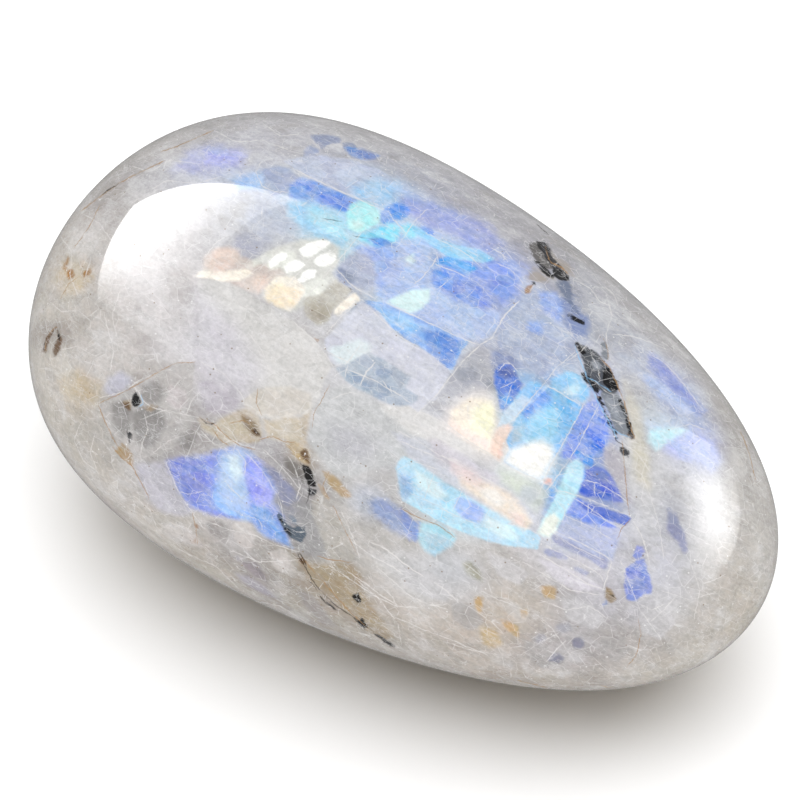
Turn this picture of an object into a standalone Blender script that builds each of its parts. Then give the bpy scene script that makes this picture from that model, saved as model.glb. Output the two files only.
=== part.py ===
"""A polished rainbow moonstone pebble: one solid, egg-shaped stone that rests on a small flat spot.

Metres, +Z up. +X runs along the stone towards its slim end. The origin is on the flat spot, straight
below the centre of mass.
"""

import math

import bmesh
import bpy
import numpy as np
from mathutils import Matrix, Vector

MM = 0.001

# The pebble's form before its flat spot is cut
LENGTH = 70.0 * MM
BREADTH = 42.9 * MM
THICKNESS = 35.3 * MM
TAPER = 0.17  # share by which the broad end is fuller, and the slim end slimmer, than the middle
SHOULDER = 0.174  # share by which the ends are fuller than an ellipse's

# The way it lies
REST_PITCH = math.radians(4.2)  # turn about Y that brings the lowest point under the centre of mass
FLAT_DEPTH = 0.5 * MM  # height that is worn off below, which leaves a flat oval about 20 by 10 mm

# Low swells and worn flats left by tumbling: direction from the middle, height, and spread in radians
TUMBLED_RELIEF = (
    ((-0.98, -0.12, 0.18), 0.06 * MM, 0.30),
    ((-0.64, 0.57, 0.51), 0.12 * MM, 0.34),
    ((0.70, 0.67, 0.23), -0.12 * MM, 0.30),
    ((0.98, 0.15, -0.10), 0.05 * MM, 0.25),
    ((0.94, -0.20, -0.30), 0.12 * MM, 0.25),
    ((0.30, -0.85, -0.45), -0.12 * MM, 0.34),
    ((-0.76, -0.62, -0.19), 0.12 * MM, 0.30),
    ((-0.30, -0.60, 0.74), -0.12 * MM, 0.26),
    ((0.40, -0.05, 0.91), -0.10 * MM, 0.26),
    ((0.10, 0.85, -0.52), -0.15 * MM, 0.36),
)

CELLS = 26  # faces along each edge of the cube that is rounded into the stone

STONE_COLOUR = (0.62, 0.62, 0.64, 1.0)
STONE_ROUGHNESS = 0.12


def clear_scene():
    """Removes whatever the file held."""
    for old in list(bpy.data.objects):
        bpy.data.objects.remove(old)


def ball_direction(corner):
    """Unit direction for a point on the cube, spaced evenly by angle."""
    return Vector([math.tan(c * math.pi / 4) for c in corner]).normalized()


def relief_at(direction):
    """Height of the tumbled relief in that direction."""
    height = 0.0
    for centre, rise, spread in TUMBLED_RELIEF:
        away = direction.angle(Vector(centre))
        height += rise * math.exp(-0.5 * (away / spread) ** 2)
    return height


def stone_point(direction):
    """The point of the pebble's skin that belongs to a direction on the unit ball."""
    x, y, z = direction
    fullness = (1 + SHOULDER * x * x) * (1 - TAPER * x)
    skin = Vector((LENGTH / 2 * x, BREADTH / 2 * fullness * y, THICKNESS / 2 * fullness * z))
    return skin + relief_at(direction) * direction


def rounded_cube():
    """A cube of even faces, pushed out to the pebble's skin."""
    bm = bmesh.new()
    bmesh.ops.create_cube(bm, size=2.0)
    bmesh.ops.subdivide_edges(bm, edges=bm.edges[:], cuts=CELLS - 1, use_grid_fill=True)
    for vert in bm.verts:
        vert.co = stone_point(ball_direction(vert.co))
    return bm


def centre_of_mass(bm):
    """Centre of the closed mesh's volume, from the tetrahedra between the origin and its triangles."""
    corners = [[loop.vert.co for loop in tri] for tri in bm.calc_loop_triangles()]
    a, b, c = np.array(corners, float).transpose(1, 0, 2)
    volumes = np.einsum("ij,ij->i", a, np.cross(b, c)) / 6
    return Vector(((a + b + c) / 4 * volumes[:, None]).sum(axis=0) / volumes.sum())


def lay_down(bm):
    """Turns the pebble to the way it rests, with its centre of mass above the origin."""
    bmesh.ops.rotate(bm, verts=bm.verts, matrix=Matrix.Rotation(REST_PITCH, 3, "Y"))
    middle = centre_of_mass(bm)
    lowest = min(vert.co.z for vert in bm.verts)
    bmesh.ops.translate(bm, verts=bm.verts, vec=(-middle.x, -middle.y, -lowest - FLAT_DEPTH))


def cut_flat_spot(bm):
    """Wears the underside off to the plane Z = 0. Returns the faces that close it."""
    geometry = bm.verts[:] + bm.edges[:] + bm.faces[:]
    cut = bmesh.ops.bisect_plane(bm, geom=geometry, plane_no=(0, 0, 1), clear_inner=True)
    rim = [item for item in cut["geom_cut"] if isinstance(item, bmesh.types.BMEdge)]
    flat = bmesh.ops.edgeloop_fill(bm, edges=rim)["faces"]
    bmesh.ops.recalc_face_normals(bm, faces=bm.faces)
    return flat


def stone_material():
    """Milky, grey-white feldspar with a polished skin."""
    material = bpy.data.materials.new("moonstone")
    material.use_nodes = True
    shader = material.node_tree.nodes["Principled BSDF"]
    shader.inputs["Base Color"].default_value = STONE_COLOUR
    shader.inputs["Roughness"].default_value = STONE_ROUGHNESS
    shader.inputs["Metallic"].default_value = 0.0
    return material


def make_moonstone():
    """The whole stone as one object."""
    bm = rounded_cube()
    lay_down(bm)
    flat = cut_flat_spot(bm)
    for face in bm.faces:
        face.smooth = face not in flat
    mesh = bpy.data.meshes.new("moonstone")
    bm.to_mesh(mesh)
    bm.free()
    mesh.materials.append(stone_material())
    stone = bpy.data.objects.new("moonstone", mesh)
    bpy.context.scene.collection.objects.link(stone)
    return stone


def main():
    clear_scene()
    make_moonstone()


main()
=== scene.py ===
"""A polished rainbow moonstone pebble on a pale studio table.

Metres, +Z up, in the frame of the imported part. The stone's markings are placed by where they are seen
in an 800 by 800 picture of it. Distances to them are kept on the stone's own fine mesh, and its
material turns those distances into crisp or soft edges.
"""

import math
from typing import NamedTuple

import bpy
import numpy as np
from mathutils import Matrix, Vector


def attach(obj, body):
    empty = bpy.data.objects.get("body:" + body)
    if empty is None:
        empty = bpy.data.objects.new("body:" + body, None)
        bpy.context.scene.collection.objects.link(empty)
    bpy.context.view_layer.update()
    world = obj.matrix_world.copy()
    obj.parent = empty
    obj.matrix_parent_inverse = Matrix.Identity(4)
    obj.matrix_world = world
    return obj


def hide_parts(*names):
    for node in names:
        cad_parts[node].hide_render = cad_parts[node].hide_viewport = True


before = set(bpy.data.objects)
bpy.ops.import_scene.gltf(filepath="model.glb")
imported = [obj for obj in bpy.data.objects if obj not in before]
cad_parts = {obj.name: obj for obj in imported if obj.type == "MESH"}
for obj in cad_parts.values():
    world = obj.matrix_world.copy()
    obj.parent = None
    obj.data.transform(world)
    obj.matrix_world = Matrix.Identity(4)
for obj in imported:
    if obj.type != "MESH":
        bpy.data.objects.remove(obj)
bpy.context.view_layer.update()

bl_info = {
    "name": "Rainbow Moonstone",
    "version": (1, 0, 0),
    "blender": (4, 5, 0),
    "location": "3D View > Sidebar > Moonstone",
    "description": "Makes a polished rainbow moonstone and the studio table that it lies on",
    "category": "Object",
}

MM = 0.001

# The picture that the markings are placed in, and the camera that sees the stone so
PICTURE = 800
FOCAL_PIXELS = 4300.0
SENSOR = 36.0
VIEW_AZIMUTH = math.radians(34.1)
VIEW_ELEVATION = math.radians(48.0)
VIEW_DISTANCE = 370.6 * MM
STONE_MIDDLE = Vector((0, 0, 17.31 * MM))  # the height that the camera looks at
LOOK_ASIDE = 1.38 * MM  # how far right of the stone's middle the camera looks

RIGHT = Vector((math.cos(VIEW_AZIMUTH), math.sin(VIEW_AZIMUTH), 0))
AHEAD = Vector(
    (
        -math.sin(VIEW_AZIMUTH) * math.cos(VIEW_ELEVATION),
        math.cos(VIEW_AZIMUTH) * math.cos(VIEW_ELEVATION),
        -math.sin(VIEW_ELEVATION),
    )
)
UP = RIGHT.cross(AHEAD)
LOOK_AT = STONE_MIDDLE + RIGHT * LOOK_ASIDE
EYE = LOOK_AT - AHEAD * VIEW_DISTANCE

# The stone's twin layers run along it, and its cleavage cracks cross them
LAYER_NORMAL = Vector((0.06, 0.8, 0.6)).normalized()
CLEAVAGE_ANGLE = math.radians(50)
CLEAVAGE_NORMAL = UP * math.cos(CLEAVAGE_ANGLE) - RIGHT * math.sin(CLEAVAGE_ANGLE)
THIRD_WAY = LAYER_NORMAL.cross(CLEAVAGE_NORMAL).normalized()
CRYSTAL_TURN = Matrix((LAYER_NORMAL, THIRD_WAY.cross(LAYER_NORMAL), THIRD_WAY)).transposed().to_euler()

# How the marks are drawn on the mesh
REACH = 24.0  # distances to an outline are kept up to this many pixels
CRACK_REACH = 8.0  # distances to a crack are kept up to this many pixels
MESH_STEP = 3.5  # pixels between the mesh's points, with some to spare
RIM_PIXELS = 150.0  # pixels for which the turn of the skin away from the eye counts
RIM_FACING = 0.03  # how far the skin still faces the eye where its marks end
BACK_FACING = 0.02  # how far it faces away from the picture's eye where the marks behind begin
RAGGED_LEAST = 0.5  # pixels by which the crispest paint's edge wanders
RAGGED_SHARE = 0.3  # more of them for each pixel of blur
RAGGED_BLUR = 5  # pixels of blur past which an edge wanders no further
RAGGED_MOST = 1.3  # the most that the edges' noise comes to
HIDING_DEPTH = 2  # pixels inside an outline from which it hides what is below
INCLUSION_RAGGED = 2.4  # times that inclusions' edges wander more
CRACK_THINNESS = 0.5  # share of its listed width that a crack is drawn with

# The studio's light on the skin, by which the tones are divided
LIGHT_ROUND = 0.96  # brightness of the studio's light on upright skin
LIGHT_ABOVE = 0.16  # more of it on skin that faces up
LIGHT_OVERHEAD = 0.42  # more of it by the square of how far the skin faces up
UNDERSIDE_START = 0.45  # how far the skin faces down where its painted warm shade begins
UNDERSIDE_SHADE = np.array((0.10, 0.22, 0.40))  # red, green and blue taken away straight below, as painted warm shade

# How the hazes meet
BODY_WEIGHT = 0.2  # weight of the plain body among the hazes
RIM_HAZE = 0.4  # strength of a haze where its side ends
RIM_HAZE_RISE = 3  # more of it by how far the skin faces the eye

# The lights
CEILING_HEIGHT = 1.2
CEILING_SIZE = 1.8
CEILING_ASIDE = 0.05  # how far right of the stone its middle hangs
LEFT_PANEL_PLACE = (-1.37, -0.005, 0.83)
LEFT_PANEL_WIDTH = 1.74
LEFT_PANEL_DEPTH = 1.45
RIGHT_PANEL_AZIMUTH = math.radians(37)
RIGHT_PANEL_DISTANCE = 1.2
RIGHT_PANEL_WIDTH = 1.22 * RIGHT_PANEL_DISTANCE
RIGHT_PANEL_HEIGHT = 0.7 * RIGHT_PANEL_DISTANCE
RIGHT_PANEL_MIDDLE = 0.018 + 0.45 * RIGHT_PANEL_DISTANCE  # the height of its middle
RIGHT_PANEL_ASIDE = 0.01  # share of its distance that it stands to one side


class Paint(NamedTuple):
    """Patches of one tone. Each outline lists x, y pairs in picture pixels."""

    tone: tuple  # red, green and blue, 0 to 255
    blur: float  # half the width of the edge's fade, in pixels
    cover: float  # 1 hides what is below
    outlines: tuple


class Haze(NamedTuple):
    """A wide, soft area of one tone on the stone: mostly the body's own colour, but some at the rims are
    painted shade and a few are painted reflection.
    """

    tone: tuple
    x: float
    y: float
    long: float
    wide: float
    turn: float  # degrees, downwards to the right
    strength: float = 1.0  # against the hazes that it meets


# The stone's milky body, and the painted shade and painted reflection that some of its hazes hold
BODY_TONE = (198, 194, 190)
FRONT_HAZE = (
    # The first seventeen hazes ring the rim. Most are darker: greyer where the skin turns away from the eye
    # along the top, and warmer along the lower side next to the table. That darkening is painted shade.
    Haze((184, 182, 183), 300, 135, 110, 25, 0),
    Haze((180, 177, 177), 430, 175, 60, 18, 25),
    Haze((178, 176, 175), 560, 250, 60, 14, 35),
    Haze((182, 180, 180), 680, 350, 45, 14, 48),
    Haze((182, 178, 173), 740, 450, 60, 14, 65),
    Haze((196, 192, 187), 762, 540, 60, 12, 90),
    Haze((203, 196, 186), 60, 330, 90, 35, 90),
    Haze((190, 185, 176), 90, 210, 50, 25, -50),
    Haze((188, 183, 175), 150, 160, 60, 15, -28),
    Haze((200, 195, 188), 100, 420, 60, 45, 60),
    Haze((192, 184, 173), 110, 500, 60, 25, 45),
    Haze((188, 180, 168), 170, 540, 60, 18, 35),
    Haze((182, 174, 165), 260, 590, 90, 16, 28),
    Haze((183, 175, 168), 400, 640, 110, 16, 18),
    Haze((186, 178, 169), 540, 675, 110, 12, 6),
    Haze((190, 182, 170), 670, 660, 60, 30, -20),
    Haze((190, 181, 167), 730, 600, 40, 25, 70),
    Haze((220, 217, 216), 290, 350, 60, 60, 0),
    Haze((205, 200, 202), 180, 300, 60, 60, 0),
    Haze((204, 203, 204), 350, 440, 40, 40, 0),
    Haze((204, 200, 197), 400, 580, 90, 40, 25),
    Haze((200, 190, 178), 500, 620, 60, 30, 0),
    Haze((184, 180, 181), 590, 640, 50, 35, 0),
    # Partly painted reflection: this pale band is the soft edge of the right panel's reflection, over the
    # body's own colour.
    Haze((204, 204, 206), 660, 480, 80, 25, 80),
    Haze((205, 206, 213), 660, 560, 40, 40, 0),
    Haze((188, 187, 190), 600, 300, 40, 30, 0),
    Haze((190, 196, 212), 540, 330, 40, 40, 0),
    Haze((188, 202, 235), 430, 280, 70, 50, 28),
    Haze((196, 203, 220), 330, 170, 60, 20, 10),
    Haze((196, 196, 208), 200, 160, 50, 14, -15),
    Haze((200, 205, 216), 260, 220, 35, 30, 0),
    Haze((212, 212, 220), 420, 430, 60, 40, 27),
    Haze((192, 192, 198), 470, 380, 30, 30, 0),
    Haze((212, 215, 225), 380, 370, 50, 30, 27),
    Haze((205, 203, 214), 600, 560, 50, 30, 27),
    Haze((190, 185, 178), 330, 520, 40, 40, 30),
    Haze((198, 194, 198), 150, 480, 30, 30, 0),
    Haze((200, 193, 190), 155, 400, 40, 25, 0),
    # Smoky glass and tan stains at the left end
    Haze((158, 155, 154), 150, 415, 30, 20, -10, 4),
    Haze((150, 145, 140), 126, 424, 10, 18, 0, 3),
    Haze((170, 165, 164), 180, 440, 24, 14, -30, 3),
    Haze((184, 178, 172), 176, 374, 24, 9, -10, 3),
    Haze((158, 151, 146), 60, 332, 8, 14, 80, 3),
    Haze((208, 200, 191), 60, 252, 20, 12, -60, 2),
    Haze((189, 183, 175), 76, 418, 20, 16, 0, 2),
    Haze((160, 152, 150), 112, 190, 20, 6, -45, 3),
    Haze((212, 214, 216), 165, 172, 30, 8, -20, 2),
    # Smoky grains below the middle
    Haze((148, 144, 143), 305, 500, 14, 22, 20, 5),
    Haze((148, 154, 176), 287, 510, 12, 14, 30, 4),
    Haze((168, 164, 168), 272, 458, 18, 10, 35, 4),
    Haze((166, 150, 128), 303, 460, 12, 10, 30, 3),
    Haze((166, 157, 148), 322, 562, 22, 12, 40, 4),
    Haze((158, 146, 130), 306, 574, 24, 9, 40, 4),
    Haze((160, 155, 154), 252, 566, 24, 9, 38, 4),
    Haze((174, 168, 163), 258, 549, 22, 7, 30, 3),
    Haze((154, 140, 120), 345, 600, 26, 10, 42, 4),
    Haze((178, 168, 158), 375, 606, 30, 9, 42, 3),
    Haze((184, 176, 168), 420, 645, 40, 10, 16, 3),
    Haze((190, 176, 160), 500, 628, 30, 20, 20, 3),
    Haze((176, 170, 172), 545, 648, 30, 12, 10, 4),
    Haze((172, 168, 172), 580, 636, 20, 14, 0, 4),
    Haze((190, 186, 186), 470, 585, 20, 16, 30, 2),
    Haze((216, 214, 214), 420, 575, 26, 10, 28, 2),
    Haze((176, 170, 166), 620, 645, 30, 10, -10, 3),
    Haze((190, 188, 196), 605, 605, 26, 14, 20, 3),
    # Grey and slate along the upper side
    Haze((168, 170, 182), 440, 190, 40, 8, 28, 3),
    Haze((170, 168, 172), 505, 222, 34, 8, 33, 3),
    Haze((152, 150, 158), 545, 258, 22, 10, 35, 3),
    Haze((152, 156, 170), 572, 296, 14, 14, 40, 4),
    Haze((150, 164, 196), 556, 338, 16, 12, 0, 4),
    Haze((160, 174, 210), 538, 326, 16, 12, 30, 3),
    Haze((176, 180, 190), 602, 320, 20, 10, 40, 3),
    # The glow of the upper sheen
    Haze((192, 217, 245), 300, 206, 18, 12, 20, 4),
    Haze((192, 228, 250), 325, 218, 18, 12, 20, 5),
    Haze((205, 244, 252), 338, 236, 16, 12, 20, 5),
    Haze((200, 246, 252), 362, 222, 12, 10, 0, 5),
    Haze((190, 220, 250), 386, 192, 22, 10, 25, 4),
    Haze((162, 180, 235), 420, 208, 24, 8, 25, 4),
    Haze((176, 212, 250), 388, 244, 22, 12, 20, 5),
    Haze((176, 203, 246), 418, 262, 24, 14, 25, 5),
    Haze((170, 208, 248), 440, 245, 20, 7, 28, 4),
    Haze((150, 175, 242), 468, 272, 24, 14, 25, 5),
    Haze((154, 170, 226), 504, 284, 16, 16, 30, 4),
    Haze((168, 182, 222), 490, 312, 22, 12, 28, 4),
    Haze((190, 198, 215), 505, 328, 18, 10, 28, 3),
    Haze((207, 230, 249), 410, 300, 16, 8, 0, 4),
    Haze((186, 214, 250), 430, 304, 16, 8, 20, 3),
    Haze((187, 216, 247), 388, 316, 18, 8, 28, 4),
    Haze((170, 192, 225), 440, 350, 18, 10, 28, 3),
    # The glow of the right sheen
    Haze((155, 195, 245), 535, 395, 18, 16, -60, 5),
    Haze((158, 208, 248), 520, 408, 14, 12, 0, 4),
    Haze((240, 228, 220), 498, 438, 14, 10, 0, 4),
    Haze((252, 250, 232), 482, 420, 12, 14, 0, 4),
    Haze((236, 246, 248), 535, 458, 16, 12, 0, 5),
    Haze((178, 212, 246), 560, 448, 12, 16, 20, 4),
    Haze((156, 194, 244), 570, 428, 12, 18, 20, 4),
    Haze((156, 172, 220), 598, 412, 12, 20, 10, 4),
    Haze((110, 156, 238), 588, 442, 10, 12, 10, 5),
    Haze((140, 190, 240), 572, 470, 10, 12, 20, 5),
    Haze((170, 205, 240), 557, 494, 10, 12, 20, 4),
    Haze((138, 158, 212), 592, 482, 14, 8, 25, 5),
    Haze((148, 164, 208), 602, 502, 16, 8, 25, 5),
    Haze((146, 172, 232), 580, 516, 16, 8, 25, 4),
    Haze((176, 190, 226), 590, 530, 18, 8, 25, 3),
    Haze((190, 203, 226), 562, 532, 12, 10, 25, 3),
    Haze((215, 225, 242), 478, 498, 24, 8, 28, 3),
    Haze((205, 234, 250), 450, 500, 22, 12, 28, 4),
    Haze((210, 226, 240), 402, 452, 14, 8, 28, 3),
    # The sheen towards the slim end
    Haze((192, 200, 220), 640, 362, 14, 10, 40, 3),
    Haze((178, 190, 225), 676, 396, 22, 12, 50, 3),
    Haze((194, 216, 244), 664, 430, 14, 8, 10, 4),
    Haze((184, 194, 236), 694, 448, 14, 14, 30, 3),
    Haze((206, 214, 222), 650, 410, 12, 8, 30, 2),
    # Painted reflection: the soft left side of the right panel's reflection.
    Haze((224, 224, 228), 685, 478, 18, 10, 50, 3),
    Haze((182, 184, 198), 672, 522, 8, 18, -10, 3),
    Haze((196, 197, 210), 652, 566, 16, 12, 0, 2),
    # Small areas at the left, below the flashes and by the dark vein
    Haze((152, 148, 146), 142, 424, 24, 16, 80, 3.0),
    Haze((204, 197, 189), 100, 478, 26, 9, 62, 3.0),
    Haze((205, 201, 202), 236, 538, 18, 8, 25, 3.0),
    Haze((162, 155, 148), 284, 590, 30, 11, 35, 3.0),
    Haze((162, 157, 152), 328, 550, 18, 12, 30, 3.0),
    Haze((160, 150, 138), 326, 612, 24, 8, 28, 3.0),
    Haze((170, 158, 144), 372, 612, 18, 9, 28, 3.0),
    Haze((187, 187, 190), 634, 392, 10, 16, 0, 3.0),
    Haze((204, 206, 212), 430, 580, 26, 10, 28, 3.0),
    Haze((197, 202, 211), 456, 572, 18, 10, 28, 3.0),
    # The frosty upper left rim, and the rims below, most of which are painted shade
    Haze((209, 206, 209), 104, 212, 16, 12, -50, 2.5),
    Haze((213, 211, 215), 148, 176, 20, 10, -30, 2.5),
    Haze((214, 217, 229), 192, 174, 20, 9, 0, 2.5),
    Haze((206, 216, 240), 238, 178, 20, 8, 0, 2.5),
    Haze((205, 205, 212), 236, 142, 26, 10, 0, 2.5),
    Haze((197, 196, 202), 284, 142, 22, 10, 10, 2.0),
    Haze((208, 202, 195), 58, 246, 10, 16, 15, 2.5),
    Haze((214, 208, 206), 80, 228, 10, 12, 30, 2.5),
    # Painted reflection: the faint lower edge of the left panel's reflection.
    Haze((226, 224, 228), 190, 352, 16, 14, 0, 2.5),
    Haze((213, 208, 206), 104, 356, 14, 16, 0, 2.0),
    Haze((201, 184, 160), 80, 402, 14, 10, 0, 2.5),
    # These five are mostly painted shade: darker, warmer rims next to the table.
    Haze((171, 165, 160), 412, 644, 24, 8, 22, 3.0),
    Haze((182, 173, 166), 456, 648, 24, 8, 18, 3.0),
    Haze((202, 188, 172), 482, 622, 16, 8, 15, 2.0),
    Haze((176, 165, 153), 504, 674, 26, 7, 10, 3.0),
    Haze((176, 167, 158), 544, 681, 24, 6, 5, 3.0),
    Haze((210, 209, 211), 640, 500, 14, 16, 0, 2.0),
    Haze((195, 187, 183), 118, 520, 16, 8, 40, 2.5),
    Haze((186, 194, 212), 368, 502, 12, 9, 28, 3.0),
)
BACK_HAZE = (
    Haze((196, 192, 188), 200, 300, 90, 60, 20),
    Haze((206, 205, 208), 330, 420, 80, 60, 25),
    Haze((184, 188, 206), 450, 350, 80, 40, 27),
    Haze((190, 181, 168), 600, 500, 80, 50, 30),
    Haze((186, 178, 168), 300, 600, 120, 40, 20),
    Haze((204, 202, 203), 560, 400, 60, 60, 0),
)
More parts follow.
